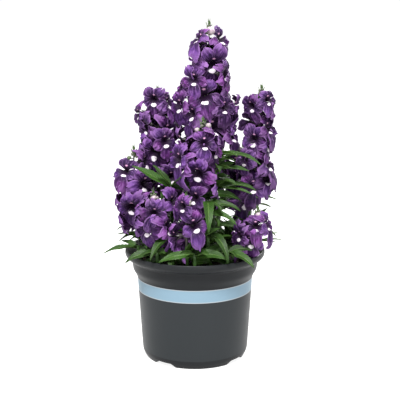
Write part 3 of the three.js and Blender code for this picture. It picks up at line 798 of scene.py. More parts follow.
class Patchwork:
    """Gathers closed forms, with their UV pairs and values per point, into one mesh."""

    def __init__(self, pairs=(), values=()):
        self.count = 0
        self.points, self.quads, self.finishes = [], [], []
        self.pairs = {name: [] for name in pairs}
        self.values = {name: [] for name in values}

    def add(self, rings, finish=0, **layers):
        """Adds a form given as rings of points, with its faces turned outwards. finish is the
        number of its material."""
        rows, sides = rings.shape[:2]
        points = rings.reshape(-1, 3)
        quads = closed_faces(rows, sides)
        if enclosed(points - points.mean(axis=0), quads) < 0:
            quads = quads[:, ::-1]
        self.points.append(points)
        self.quads.append(quads + self.count)
        self.finishes.append(np.full(len(quads), finish))
        self.count += len(points)
        for name, kept in self.pairs.items():
            kept.append(np.broadcast_to(layers.get(name, 0.0), (rows, sides, 2)).reshape(-1, 2))
        for name, kept in self.values.items():
            kept.append(np.broadcast_to(layers.get(name, 0.0), (rows, sides)).ravel())

    def make(self, name, materials, sharp=50):
        """Makes the mesh object, in metres, its edges sharp past an angle in degrees."""
        mesh = bpy.data.meshes.new(name)
        quads = np.concatenate(self.quads).astype(np.int32)
        mesh.vertices.add(self.count)
        mesh.vertices.foreach_set("co", (np.concatenate(self.points) * MM).ravel())
        mesh.loops.add(quads.size)
        mesh.loops.foreach_set("vertex_index", quads.ravel())
        mesh.polygons.add(len(quads))
        mesh.polygons.foreach_set("loop_start", np.arange(0, quads.size, 4, dtype=np.int32))
        mesh.polygons.foreach_set("material_index", np.concatenate(self.finishes))
        mesh.update(calc_edges=True)
        for layer, kept in self.pairs.items():
            pairs = np.concatenate(kept)[quads.ravel()]
            mesh.uv_layers.new(name=layer).data.foreach_set("uv", pairs.ravel())
        for layer, kept in self.values.items():
            attribute = mesh.attributes.new(layer, "FLOAT", "POINT")
            attribute.data.foreach_set("value", np.concatenate(kept))
        for material in materials:
            mesh.materials.append(material)
        mesh.shade_smooth()
        mesh.set_sharp_from_angle(angle=math.radians(sharp))
        made = bpy.data.objects.new(name, mesh)
        bpy.context.scene.collection.objects.link(made)
        return made


def shell(top, under):
    """Rings round a thin blade: each row of the top, then the same row of the underside back."""
    return np.concatenate([top, under[:, ::-1]], axis=1)


def circle_angles(sides):
    """The angles of the corners of a ring."""
    return 2 * np.pi * np.arange(sides) / sides


def tube(points, radii, sides):
    """Rings round a path: each point plus radius times a circle square to the path."""
    along = unit(np.gradient(points, axis=0))
    guide = np.where(np.abs(along[:, 2:]) > 0.8, np.array([1.0, 0, 0]), UP)
    side = unit(guide - along * np.sum(guide * along, axis=1, keepdims=True))
    other = np.cross(along, side)
    turn = circle_angles(sides)[:, None]
    circle = side[:, None] * np.cos(turn) + other[:, None] * np.sin(turn)
    return points[:, None] + circle * np.asarray(radii, float)[:, None, None]


def core_rings(axis, ends, radii, rows, sides):
    """Rings round a stem's axis between two heights, from one radius to another."""
    points = axis_point(axis, np.linspace(*ends, rows))
    return tube(points, np.linspace(*radii, rows), sides)


def turned(profile, sides):
    """Rings round the Z axis from pairs of radius and height: the radius times the sine and the
    cosine of the angle from the front."""
    turn = circle_angles(sides)
    radius, height = np.asarray(profile, float).T
    x = radius[:, None] * np.sin(turn)
    y = -radius[:, None] * np.cos(turn)
    return np.stack([x, y, np.broadcast_to(height[:, None], x.shape)], -1)


def rounded(corners, steps=5):
    """A profile with its corners (x, y, radius) rounded, each by a curve with the corner as its
    middle pole that leaves the sides one radius from it."""
    places = np.array([corner[:2] for corner in corners], float)
    points = [places[0]]
    for i in range(1, len(places) - 1):
        before, here, after = places[i - 1], places[i], places[i + 1]
        radius = corners[i][2]
        start = here + unit(before - here) * min(radius, 0.48 * np.linalg.norm(before - here))
        end = here + unit(after - here) * min(radius, 0.48 * np.linalg.norm(after - here))
        for t in np.linspace(0, 1, steps) if radius else [0.5]:
            points.append((1 - t) ** 2 * start + 2 * t * (1 - t) * here + t**2 * end)
    points.append(places[-1])
    return np.array(points)


# Pot and soil


def inner_radius(z):
    """The radius of the pot's inner wall at a height, below its lip."""
    heights = [FOOT_CORNER, WAIST_HEIGHT, COLLAR_FOOT]
    return np.interp(z, heights, [BODY_FOOT_RADIUS, WAIST_RADIUS, COLLAR_FOOT_RADIUS]) - WALL


def notch_rise(angles):
    """How high the foot ring is cut at each angle from the front: a trapezium at each notch."""
    rise = np.zeros_like(angles)
    for i in range(NOTCH_COUNT):
        middle = math.radians(NOTCH_TURN + 360 * i / NOTCH_COUNT)
        apart = np.abs((angles - middle + np.pi) % (2 * np.pi) - np.pi) * FOOT_RADIUS
        slope = (NOTCH_HALF_FOOT - apart) / (NOTCH_HALF_FOOT - NOTCH_HALF_TOP)
        rise = np.maximum(rise, FLOOR_RISE * smooth(slope))
    return rise


def pot_rings(sides):
    """The pot as rings, from the middle of its underside round its wall to the floor inside. At a
    notch the foot is lifted by its rise, and its outside follows the taper."""
    floor_top = FLOOR_RISE + WALL
    outside = [
        (0.5, 0, 0),
        (PAD_RADIUS, 0, 1),
        (PAD_RADIUS + 2, FLOOR_RISE, 1),
        (FOOT_RADIUS - FOOT_RING, FLOOR_RISE, 1),
        (FOOT_RADIUS - 2.6, 0, 0.6),
        (FOOT_RADIUS, 0, 0.8),
        (BODY_FOOT_RADIUS, FOOT_CORNER, 2.5),
        (WAIST_RADIUS, WAIST_HEIGHT, 3),
        (COLLAR_FOOT_RADIUS, COLLAR_FOOT, 2),
        (COLLAR_RADIUS, LIP_FOOT, 1.2),
        (LIP_RADIUS - 1.6, LIP_FOOT + 2.6, 1.6),
        (LIP_RADIUS, LIP_FOOT + 5.6, 1.5),
        (LIP_RADIUS - 0.5, POT_HEIGHT, 0.7),
    ]
    inside = [
        (LIP_RADIUS - 2.1, POT_HEIGHT, 0.7),
        (COLLAR_RADIUS - WALL, LIP_FOOT + 0.8, 1.6),
        (inner_radius(COLLAR_FOOT), COLLAR_FOOT, 1),
        (inner_radius(WAIST_HEIGHT), WAIST_HEIGHT, 1),
        (inner_radius(floor_top + 2), floor_top + 2, 1),
        (FOOT_RADIUS - 0.8, floor_top, 1),
        (PAD_RADIUS + 1.4, floor_top, 1),
        (PAD_RADIUS - 0.4, WALL, 0.6),
        (0.5, WALL, 0),
    ]
    profile = rounded(outside + inside)
    rings = turned(profile, sides)
    rise = notch_rise(circle_angles(sides))
    heights = np.array([0, FOOT_CORNER])
    radii = [FOOT_RADIUS, BODY_FOOT_RADIUS]
    for i in range(int(np.argmax(profile[:, 1])) + 1):
        radius, z = profile[i]
        if z >= FOOT_CORNER or radius < FOOT_RADIUS - FOOT_RING:
            continue
        if radius >= FOOT_RADIUS - 0.9:
            lifted = rise + z * (1 - rise / FOOT_CORNER)
            wider = np.interp(lifted, heights, radii) + radius - np.interp(z, heights, radii)
            rings[i, :, :2] *= (wider / radius)[:, None]
        else:
            lifted = np.maximum(z, rise)
        rings[i, :, 2] = lifted
    return rings


def grain(x, y, cell, seed):
    """Value noise: random heights on a square lattice, joined by smooth steps."""
    size = 128
    lattice = np.random.default_rng(seed).uniform(-1, 1, (size, size))
    i, j = np.floor(x / cell).astype(int), np.floor(y / cell).astype(int)
    s, t = smooth(x / cell - i), smooth(y / cell - j)
    low, high = [
        mix(lattice[i % size, row % size], lattice[(i + 1) % size, row % size], s)
        for row in (j, j + 1)
    ]
    return mix(low, high, t)


def soil_rings(sides):
    """The soil as rings: a plug that fills the pot. Its surface is raised by half of SOIL_RELIEF
    times crossed sines about 20 and 9 mm long, and by grain of 3.4 and 1.7 mm."""
    bottom = FLOOR_RISE + WALL + SOIL_GAP
    heights = [bottom + 2, WAIST_HEIGHT, COLLAR_FOOT]
    edge = float(inner_radius(SOIL_TOP)) - SOIL_GAP
    plug = [(0.5, bottom), (FOOT_RADIUS - 1.4, bottom)]
    plug += [(float(inner_radius(z)) - SOIL_GAP, z) for z in heights]
    plug.append((edge, SOIL_TOP - 1.5))
    surface = [(radius, SOIL_TOP) for radius in np.linspace(edge - 0.2, 0.5, 60)]
    rings = turned(plug + surface, sides)
    top = rings[len(plug):]
    x, y = top[..., 0], top[..., 1]
    broad = np.sin(0.31 * x + 1.1) * np.cos(0.27 * y) + 0.6 * np.sin(0.53 * y - 0.41 * x)
    crumbs = 0.7 * grain(x, y, 3.4, 1) + 0.5 * grain(x, y, 1.7, 2)
    top[..., 2] += SOIL_RELIEF / 2 * broad + crumbs
    return rings


# Blooms


def petal_shell(bloom, petal, draw, along=13, across=13):
    """A petal as a closed shell over u, from the pit of the throat out, and v, across it.
    With t = 1 - (1 - u)^2 its radius is 0.6 mm + t times the rest of its reach, which waves by
    sin 4.5v. Half its width is 0.7 of the radius in the throat, and then its breadth times the
    root of 1 - ((t - 0.64) / 0.36)^2, waved by sin 9t. Its height is the bowl of the throat, then
    with f, the share of the way from the throat to the end: rise f^0.9 - fall f^3 + bend f^2,
    a twist by v f less a fold by v^2 f, a ripple of sines along the margin and the end, less a
    groove exp -(v / 0.22)^2, a crumple of two crossed sines about 5 mm long and, on the lip, a
    boss. The petal hangs by f^2."""
    is_lip = petal["middle"] == LIP
    size = bloom["size"]
    reach = size * petal["reach"] * draw(0.86, 1.12)
    breadth = size * petal["breadth"] * draw(0.84, 1.08)
    fold = petal["fold"] * draw(0.5, 1.9)
    middle = math.radians(petal["middle"] + draw(-9, 9))
    twist = petal["twist"] - 0.06 + draw(-0.3, 0.3)
    bend = draw(-0.16, 0.12) - 0.5 * draw(0, 1) ** 5
    phase = draw(0, 6.28)
    ripple = bpy.context.scene.angelonia_blooms.ripple / MM * draw(0.7, 2.6)
    u, v = np.linspace(0, 1, along)[:, None], np.linspace(-1, 1, across)[None]
    t = 1 - (1 - u) ** 2
    radius = 0.6 + (reach * (1 + 0.07 * t * np.sin(4.5 * v + 2 * phase)) - 0.6) * t
    throat = THROAT_SHARE * size
    free = np.clip((radius - throat) / (reach - throat), 0, 1)
    round_end = np.sqrt(np.maximum(0.03, 1 - np.clip((t - 0.64) / 0.36, 0, 1) ** 2))
    half = mix(0.7 * radius, breadth * round_end, smooth(free / 0.5))
    side = half * v * (1 + 0.03 * np.sin(9 * t + phase))
    x = radius * math.cos(middle) - side * math.sin(middle)
    y = radius * math.sin(middle) + side * math.cos(middle)
    height = -THROAT_DEPTH * (1 - smooth(np.hypot(radius, side) / throat))
    height += size * (petal["rise"] * free**0.9 - petal["fall"] * free**3 + bend * free**2)
    height += twist * side * free - fold * breadth * free * v**2
    height += ripple * free * (v**2 * np.sin(14 * t + phase) + free * np.sin(6 * v + phase))
    height -= 0.09 * breadth * np.exp(-((v / 0.22) ** 2)) * free
    crumple = CRUMPLE * np.sin(1.3 * x + phase) * np.sin(1.15 * y + 2 * phase)
    height += crumple * smooth(free / 0.4) * (LIP_CRUMPLE if is_lip else 1)
    boss = np.exp(-((x / (0.26 * size)) ** 2) - ((y + 0.45 * size) / (0.17 * size)) ** 2)
    height += 0.1 * size * boss * is_lip
    droop = size * free**2 * (0.2 if is_lip else 0.1)
    places = [
        bloom["mouth"] + x[..., None] * bloom["right"] + y[..., None] * bloom["up"]
        + (height - depth)[..., None] * bloom["facing"] - droop[..., None] * UP
        for depth in (0, PETAL_THICKNESS * (1 - 0.5 * t))
    ]
    face = np.stack([x, y], -1) / size
    on_petal = np.stack([t + 0 * v, v + 0 * u], -1)
    backs = np.concatenate([np.zeros(across), np.ones(across)])
    return shell(*places), shell(face, face), shell(on_petal, on_petal), backs


def nodded(bloom, pitch, yaw):
    """The bloom turned about its throat, by a pitch and a yaw in degrees."""
    pitch, yaw = math.radians(pitch), math.radians(yaw)
    facing = bloom["facing"] * math.cos(pitch) + bloom["up"] * math.sin(pitch)
    up = np.cross(facing, bloom["right"])
    turned_to = facing * math.cos(yaw) + bloom["right"] * math.sin(yaw)
    return dict(bloom, facing=turned_to, up=up, right=np.cross(up, turned_to))


def stalk_rings(bloom):
    """The stalk: a cubic curve that leaves the stem outwards and comes into the bloom's line behind
    its mouth, where its radius swells from 0.6 to 1.9 mm for the calyx."""
    calyx = on_face(bloom, 0, 0, -7.6)
    bend = np.linalg.norm(calyx - bloom["root"])
    poles = [
        bloom["root"],
        bloom["root"] + bloom["out"] * 0.4 * bend,
        calyx - bloom["facing"] * 0.3 * bend,
        calyx,
    ]
    bent = curve_point(poles, np.linspace(0, 1, 8))
    ahead = np.array([-7.1, -6.7, -6.2, -5.9])
    points = np.concatenate([bent, on_face(bloom, 0, 0 * ahead, ahead)])
    radii = [0.9, 0.65, 0.6, 0.6, 0.6, 0.6, 0.7, 1.1, 1.75, 1.9, 1.6, 1.2]
    return tube(points, radii, 8)


def sepal_shell(bloom, degrees):
    """A sepal: a narrow pointed blade that hugs the throat from behind. At the share s along it,
    it lies 1.8 + 1.7 s^1.5 mm from the throat's line and 6.2 - 3.4 s mm behind the mouth, and
    its top is crowned by 0.25 (1 - v^2) mm."""
    share = np.linspace(0, 1, 4)[:, None]
    side = np.array([-1.0, 0, 1])[None]
    half = np.array([0.8, 0.95, 0.6, 0.05])[:, None]
    distance = 1.8 + 1.7 * share**1.5
    height = -6.2 + 3.4 * share
    sideways = np.degrees(side * half / distance)
    top = on_face(bloom, degrees + sideways, distance + 0.25 * (1 - side**2), height)
    under = on_face(bloom, degrees + sideways, distance - 0.25, height)
    return shell(top, under)


def make_blooms(node, blooms, axis, spike):
    """One spike's blooms, with their stalks, calyces and the upper part of their stem. Each bloom
    nods and turns, and is fuller than its solid."""
    patch = Patchwork(pairs=("face", "petal"), values=("back", "tone"))
    draw = draws_from(NOD_SEED + int(spike["low"]))
    tip = spike["tip"][2]
    ends, radii = (spike["low"] - SPIKE_FOOT, tip - BUD_ZONE), (STEM_TOP_RADIUS, SPIKE_TOP_RADIUS)
    patch.add(core_rings(axis, ends, radii, rows=24, sides=10), finish=1)
    for bloom in blooms:
        bloom = nodded(bloom, draw(*NOD_RANGE), draw(-MOST_YAW, MOST_YAW))
        age = smooth((tip - OPENING_START - bloom["root"][2]) / OPENING_LENGTH)
        bloom["size"] *= mix(BUDDING, FULLNESS, age) * draw(0.92, 1.07) * spike.get("growth", 1)
        spread = spike.get("spread", OPEN_REACH) * age + draw(-1.8, 2.2)
        raised = spike.get("top_rise", 0) * (1 - age)
        bloom["mouth"] = bloom["mouth"] + bloom["out"] * spread + UP * raised
        # Each bloom's tone is drawn at random, and its spike's shade adds painted shade: darker
        # petals on spikes that stand back in shade, lighter ones in front.
        tone = draw(0, 1) + spike.get("shade", 0)
        for petal in PETALS:
            rings, face, on_petal, back = petal_shell(bloom, petal, draw)
            own_tone = tone + draw(-TONE_SPREAD, TONE_SPREAD)
            patch.add(rings, face=face, petal=on_petal, back=back, tone=own_tone)
        patch.add(stalk_rings(bloom), finish=1)
        for k in range(5):
            patch.add(sepal_shell(bloom, 18 + 72 * k), finish=1)
    piece = patch.make("spike_" + spike["name"], [petal_material(), stem_material(*PLUM_SKIN)])
    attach(piece, "root")
    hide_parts(node)


# Buds


def pod_rings(start, along, length, radius, rings=8, sides=10, furrow=0):
    """An egg on a line: its radius is the sine of share^0.85 to the power 0.7, less a furrow that
    is a share of it, (1 + cos 5a) / 2, between its five folded lobes."""
    share = np.linspace(0.04, 0.97, rings)
    points = start + share[:, None] * length * along
    egg = tube(points, radius * np.sin(np.pi * share**0.85) ** 0.7, sides)
    cut = furrow * (1 + np.cos(5 * circle_angles(sides))) / 2
    return points[:, None] + (egg - points[:, None]) * (1 - cut)[None, :, None]


def bract_shell(root, out, climb, length, width):
    """A small pointed blade on a leaf's arc that sets out at climb and bends upwards. Its sides
    are lifted by 0.18 of its width times v^2, and it thins from 0.28 to 0.06 mm."""
    leaf = dict(root=root, out=out, climb=climb, droop=-28, length=length, width=width, roll=0)
    share = np.linspace(0, 1, 6)[:, None]
    side = np.array([-1.0, 0, 1])[None]
    half = width / 2 * np.array([0.5, 0.9, 1, 0.75, 0.4, 0.04])[:, None]
    lift = 0.18 * width * side**2 + 0 * share
    top = leaf_point(leaf, share + 0 * side, half * side, lift)
    under = leaf_point(leaf, share + 0 * side, half * side, lift - 0.28 + 0.22 * share)
    return shell(top, under)


def make_buds(node, axis, spike):
    """The growing tip: round pale buds, then ever smaller green ones between narrow bracts."""
    patch = Patchwork(values=("pale",))
    draw = draws_from(BUD_SEED + int(spike["low"]))
    tip = spike["tip"][2]
    ends, radii = (tip - BUD_ZONE + JOIN_GAP, tip - 1.5), (SPIKE_TOP_RADIUS, 0.35)
    patch.add(core_rings(axis, ends, radii, rows=10, sides=8), finish=1)
    rows = 12
    paleness = spike.get("bud_paleness", 1) * np.linspace(0.6, 1, rows)[:, None]
    for i in range(BUD_COUNT):
        root, out, middle = bud_place(axis, tip, i)
        if i == 0:
            middle = middle + np.array(spike.get("bud_shift", (0, 0, 0)))
        along = unit(out + 0.4 * UP)
        swell = spike.get("bud_sizes", (1, 1, 1))[i]
        start = middle - along * 2.2
        stalk = np.array([root, (root + start) / 2, start + along])
        patch.add(tube(stalk, [0.5, 0.45, 0.7], 6), finish=1)
        pod = pod_rings(start, along, 5.4 * swell, 2.7 * swell, rows, sides=20, furrow=0.14)
        patch.add(pod, pale=paleness)
        patch.add(pod_rings(start - along * 0.3, along, 3.4, 2.45 * min(1, swell)), pale=0)
    for i in range(GREEN_BUDS):
        share = i / (GREEN_BUDS - 1)
        root = axis_point(axis, tip - 10.5 + 8.5 * share)
        out = outwards(SPIRAL_TURN * i + 70 + draw(-15, 15))
        along = unit(out + (0.5 + 1.5 * share) * UP)
        radius = mix(1.55, 0.6, share)
        start = root + along * mix(1.6, 0.3, share)
        patch.add(pod_rings(start, along, radius * 2.5, radius), pale=0.35 * (1 - share))
        length = mix(7.4, 4.4, share) * draw(0.85, 1.1)
        climb, width = mix(25, 66, share), mix(2.6, 1.6, share)
        patch.add(bract_shell(root, outwards(SPIRAL_TURN * i + 70), climb, length, width))
    for i in range(END_BRACTS):
        root = axis_point(axis, tip - 4)
        patch.add(bract_shell(root, outwards(120 * i + 40), 62, 4.2, 1.0))
    piece = patch.make("tip_" + spike["name"], [bud_material(), stem_material(*PLUM_SKIN)])
    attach(piece, "root")
    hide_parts(node)


# Stems and leaves


def leaf_shares(teeth):
    """The rows of a blade: its stalk, the notch and the peak of each tooth, and its tip."""
    toothed = 0.8
    notches = 0.12 + toothed * np.arange(teeth) / teeth
    pairs = np.stack([notches, notches + 0.7 * toothed / teeth], -1).ravel()
    shares = np.concatenate([[0, 0.04, 0.08], pairs, [0.95, 1]])
    is_peak = np.concatenate([[0.5, 0.5, 0.5], np.tile([0, 1], teeth), [0.5, 0.5]])
    return shares[:, None], is_peak[:, None]


def blade_shell(leaf, phase):
    """A toothed blade as a closed shell. Its margin runs at 0.45 of the leaf's width times
    sin(pi share^0.72)^0.85, further out at the peaks and further in at the notches of its teeth.
    Its halves rise from the midrib by 0.28 of their width, its margin waves by a sine along it,
    and its midrib stands out below."""
    settings = bpy.context.scene.angelonia_leaves
    share, is_peak = leaf_shares(settings.teeth)
    columns = 7
    side = np.linspace(-1, 1, columns)[None]
    body = np.sin(np.pi * share**0.72) ** 0.85
    half = leaf["width"] * 0.45 * np.maximum(np.where(share < 0.3, 0.16, 0.015), body)
    half = half * (1.04 + settings.tooth_depth * (is_peak - 0.5) * 2 * (body > 0.1))
    across = half * side
    lift = 0.28 * np.abs(across) * smooth(share / 0.2) - 0.25 * np.exp(-((side / 0.16) ** 2))
    lift += 0.5 * side**2 * body * np.sin(11 * share + phase + side)
    keel = 0.45 + 0.5 * (1 - share) * np.exp(-((side / 0.22) ** 2))
    whole = share + 0 * side
    top = leaf_point(leaf, whole, across, lift)
    under = leaf_point(leaf, whole, across, lift - keel)
    blade = np.stack([whole, side + 0 * share], -1)
    unders = np.concatenate([np.zeros(columns), np.ones(columns)])
    return shell(top, under), shell(blade, blade), unders


def make_stem(stem):
    """One stem with its leaves. Its radius falls evenly from foot to top, plus 0.35 mm times
    exp -(z / 2.5 mm)^2 at each pair."""
    patch = Patchwork(pairs=("blade",), values=("under", "tone"))
    rows = 30
    heights = np.linspace(SOIL_TOP - STEM_DEPTH, stem["top"], rows)
    points = axis_point(stem["axis"], np.maximum(heights, SOIL_TOP))
    points[:, 2] = heights
    radii = np.linspace(STEM_FOOT_RADIUS, STEM_TOP_RADIUS, rows)
    for level in stem["levels"]:
        radii = radii + 0.35 * np.exp(-(((heights - level["z"]) / 2.5) ** 2))
    patch.add(tube(points, radii, 10), finish=1)
    draw = draws_from(BLADE_SEED + len(stem["name"]) + int(stem["top"]))
    for leaf in stem["leaves"]:
        rings, blade, under = blade_shell(leaf, draw(0, 6.28))
        patch.add(rings, blade=blade, under=under, tone=draw(0, 1))
    skins = [leaf_material(), stem_material(*GREEN_SKIN)]
    piece = patch.make("shoot_" + stem["name"], skins)
    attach(piece, "root")
    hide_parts(stem["name"])


# Materials


def linear(code):
    """An sRGB hex colour such as 6a3c8e as linear red, green, blue and alpha."""
    channels = [int(code[i:i + 2], 16) / 255 for i in (0, 2, 4)]
    curve = [c / 12.92 if c <= 0.04045 else ((c + 0.055) / 1.055) ** 2.4 for c in channels]
    return (*curve, 1.0)


def fill(tree, node, inputs):
    """Fills inputs of a node, in order or by the keys of a dictionary, with plain values or with
    links from sockets or from the first output of other nodes."""
    for key, value in inputs.items() if isinstance(inputs, dict) else enumerate(inputs):
        if isinstance(value, bpy.types.Node):
            value = value.outputs[0]
        if isinstance(value, bpy.types.NodeSocket):
            tree.links.new(value, node.inputs[key])
        else:
            node.inputs[key].default_value = value


def add_node(tree, kind, inputs=(), **settings):
    """Adds a shader node with its settings, and fills its inputs."""
    made = tree.nodes.new("ShaderNode" + kind)
    for name, value in settings.items():
        setattr(made, name, value)
    fill(tree, made, inputs)
    return made


def start_material(name, inputs):
    """A new material with its node tree, its principled shader and Object coordinates."""
    material = bpy.data.materials.new(name)
    material.use_nodes = True
    tree = material.node_tree
    shader = tree.nodes["Principled BSDF"]
    fill(tree, shader, inputs)
    return material, tree, shader, add_node(tree, "TexCoord").outputs["Object"]


def coated(tree, base, *coats):
    """A base colour under coats, each given as the share that it covers and its own colour."""
    for share, colour in coats:
        mixed = add_node(tree, "Mix", {0: share, 6: base, 7: colour}, data_type="RGBA")
        base = mixed.outputs[2]
    return base


def oval(tree, place, middle, radii, inner, outer):
    """A mask that is 1 inside an oval and falls to 0 between the shares inner and outer of it."""
    moved = add_node(tree, "VectorMath", [place, (*middle, 0)], operation="SUBTRACT")
    scale = (1 / radii[0], 1 / radii[1], 0)
    scaled = add_node(tree, "VectorMath", [moved, scale], operation="MULTIPLY")
    length = add_node(tree, "VectorMath", [scaled], operation="LENGTH").outputs["Value"]
    return add_node(
        tree, "MapRange", [length, outer, inner, 0, 1], interpolation_type="SMOOTHSTEP"
    )


@functools.cache
def petal_material():
    """Velvety petal: fine upright cells scatter light, so it is matt with a mauve sheen. It is deep
    violet with fine darker veins, with painted shade at the root of each petal, a painted highlight
    towards its end and along its margin, and painted shade in the throat, nearly black, with a
    white blotch on the boss of the lip and a small pale mark above the throat."""
    colours = bpy.context.scene.angelonia_blooms
    velvet = {
        "Roughness": 0.55,
        "IOR": 1.4,
        "Specular IOR Level": 0.15,
        "Sheen Weight": 0.04,
        "Sheen Roughness": 0.4,
        "Sheen Tint": linear("c9a0dc"),
    }
    material, tree, shader, place = start_material("velvety violet petal", velvet)
    face, on_petal = [add_node(tree, "UVMap", uv_map=name) for name in ("face", "petal")]
    back, tone = [
        add_node(tree, "Attribute", attribute_name=name).outputs["Fac"]
        for name in ("back", "tone")
    ]
    along, across, _ = add_node(tree, "SeparateXYZ", [on_petal]).outputs
    # Petals pass from deep violet at the root, a painted shade, to their own colour, which is
    # redder or deeper on some of them. The deeper share is a random tone plus the spike's painted
    # shade.
    out_of_root_shade = add_node(
        tree, "MapRange", [along, 0.3, 0.85, 0, 1], interpolation_type="SMOOTHSTEP"
    )
    seed = add_node(tree, "Math", [tone, 40.0], operation="MULTIPLY")
    swing = add_node(tree, "Math", [seed], operation="SINE")
    redder = add_node(tree, "MapRange", [swing, -0.4, 1, 0, 0.75])
    deeper = add_node(tree, "MapRange", [tone, 0.15, 1.15, 0, 0.92])
    petal = coated(tree, colours.petal, (redder, colours.petal_red))
    # Clouds are drawn out along each petal, and its seed gives it clouds of its own.
    stretched = add_node(tree, "Mapping", {"Vector": on_petal, "Scale": (1.6, 2.8, 1)})
    cloudy = {"Vector": stretched, "W": seed, "Scale": 1.5, "Detail": 4.0}
    clouds = add_node(tree, "TexNoise", cloudy, noise_dimensions="4D")
    dusky = add_node(tree, "MapRange", [clouds, 0.5, 0.39, 0, 0.75])
    bright = add_node(tree, "MapRange", [clouds, 0.53, 0.66, 0, 0.45])
    # Nine veins fan out along a lobe, 1.5 to 2 mm apart where it is widest.
    fan = {"Vector": on_petal, "Scale": 1.35, "Distortion": 0.8, "Detail": 2.0}
    veins = add_node(tree, "TexWave", fan, bands_direction="Y").outputs["Fac"]
    thin = add_node(tree, "MapRange", [veins, 0.5, 1, 0, 0.2])
    off_middle = add_node(tree, "Math", [across], operation="ABSOLUTE")
    # The ends and the sides of the petals are painted lighter in the margin colour: a painted
    # highlight where the convex lobes catch the light.
    end = add_node(tree, "MapRange", [along, 0.7, 1, 0, 0.45])
    edge = add_node(tree, "MapRange", [off_middle, 0.78, 1, 0, 0.45])
    paler = add_node(tree, "Math", [back, 0.1], operation="MULTIPLY")
    # The throat's painted shade, nearly black, the mark and the blotch lie on the bloom's face.
    # Noise bends the blotch out of its oval, by up to about 1 mm, and the petals' backs have no
    # blotch.
    painted_throat_shade = oval(tree, face, (0, -0.02), (0.5, 0.42), 0.4, 1.2)
    mark = oval(tree, face, (0, 0.37), (0.12, 0.07), 0.2, 1.2)
    ragged = add_node(tree, "TexNoise", {"Vector": place, "Scale": 190.0, "Detail": 2.0})
    shifts = [ragged.outputs["Color"], (0.3, 0.24, 0), face]
    shifted = add_node(tree, "VectorMath", shifts, operation="MULTIPLY_ADD")
    blotch = oval(tree, shifted, (0.15, -0.31), (0.225, 0.128), 0.8, 1.08)
    front = add_node(tree, "Math", [1.0, back], operation="SUBTRACT")
    white = add_node(tree, "Math", [blotch, front], operation="MULTIPLY")
    base = coated(
        tree,
        colours.petal_deep_and_shade,
        (out_of_root_shade, petal),
        (deeper, colours.petal_deep_and_shade),
        (dusky, colours.petal_deep_and_shade),
        (bright, colours.margin),
        (thin, colours.throat),
        (end, colours.margin),
        (edge, colours.margin),
        (paler, colours.margin),
        (painted_throat_shade, colours.throat),
        (mark, colours.mark),
        (white, colours.blotch),
    )
    # Cells and veins raise the surface by hundredths of a millimetre, drawn coarser to show, and
    # creases about 3 mm apart lie over the folds of the mesh.
    cells = add_node(tree, "TexNoise", {"Vector": place, "Scale": 1500.0, "Detail": 2.0})
    relief = add_node(tree, "Math", [cells, veins], operation="SUBTRACT")
    fine = add_node(tree, "Bump", {"Height": relief, "Strength": 0.25, "Distance": 0.3 * MM})
    creases = add_node(tree, "TexNoise", {"Vector": place, "Scale": 330.0, "Detail": 3.0})
    creased = {"Height": creases, "Strength": 0.6, "Distance": 1.6 * MM, "Normal": fine}
    normal = add_node(tree, "Bump", creased)
    fill(tree, shader, {"Base Color": base, "Normal": normal})
    return material


@functools.cache
def stem_material(name, low, high):
    """Waxy stem skin: smooth and slightly glossy, with streaks 1 mm wide and 7 mm long between
    two colours."""
    material, tree, shader, place = start_material(name, {"Roughness": 0.45, "IOR": 1.42})
    stretched = add_node(tree, "Mapping", {"Vector": place, "Scale": (1, 1, 0.15)})
    streaks = add_node(tree, "TexNoise", {"Vector": stretched, "Scale": 900.0, "Detail": 3.0})
    base = coated(tree, linear(low), (streaks, linear(high)))
    bump = add_node(tree, "Bump", {"Height": streaks, "Strength": 0.3, "Distance": 0.2 * MM})
    fill(tree, shader, {"Base Color": base, "Normal": bump})
    return material


@functools.cache
def bud_material():
    """Young bud: fresh green bracts and calyces, and petals still white with a pink flush, in
    soft patches of about 2 mm."""
    fresh = {"Roughness": 0.5, "IOR": 1.4, "Sheen Weight": 0.15}
    material, tree, shader, place = start_material("pale bud and fresh bract", fresh)
    clouds = add_node(tree, "TexNoise", {"Vector": place, "Scale": 420.0, "Detail": 2.0})
    green = coated(tree, linear("182c0c"), (clouds, linear("3f5822")))
    white = coated(tree, linear("aba29c"), (clouds, linear("8d6f8b")))
    pale = add_node(tree, "Attribute", attribute_name="pale").outputs["Fac"]
    base = coated(tree, green, (pale, white))
    bump = add_node(tree, "Bump", {"Height": clouds, "Strength": 0.2, "Distance": 0.3 * MM})
    fill(tree, shader, {"Base Color": base, "Normal": bump})
    return material


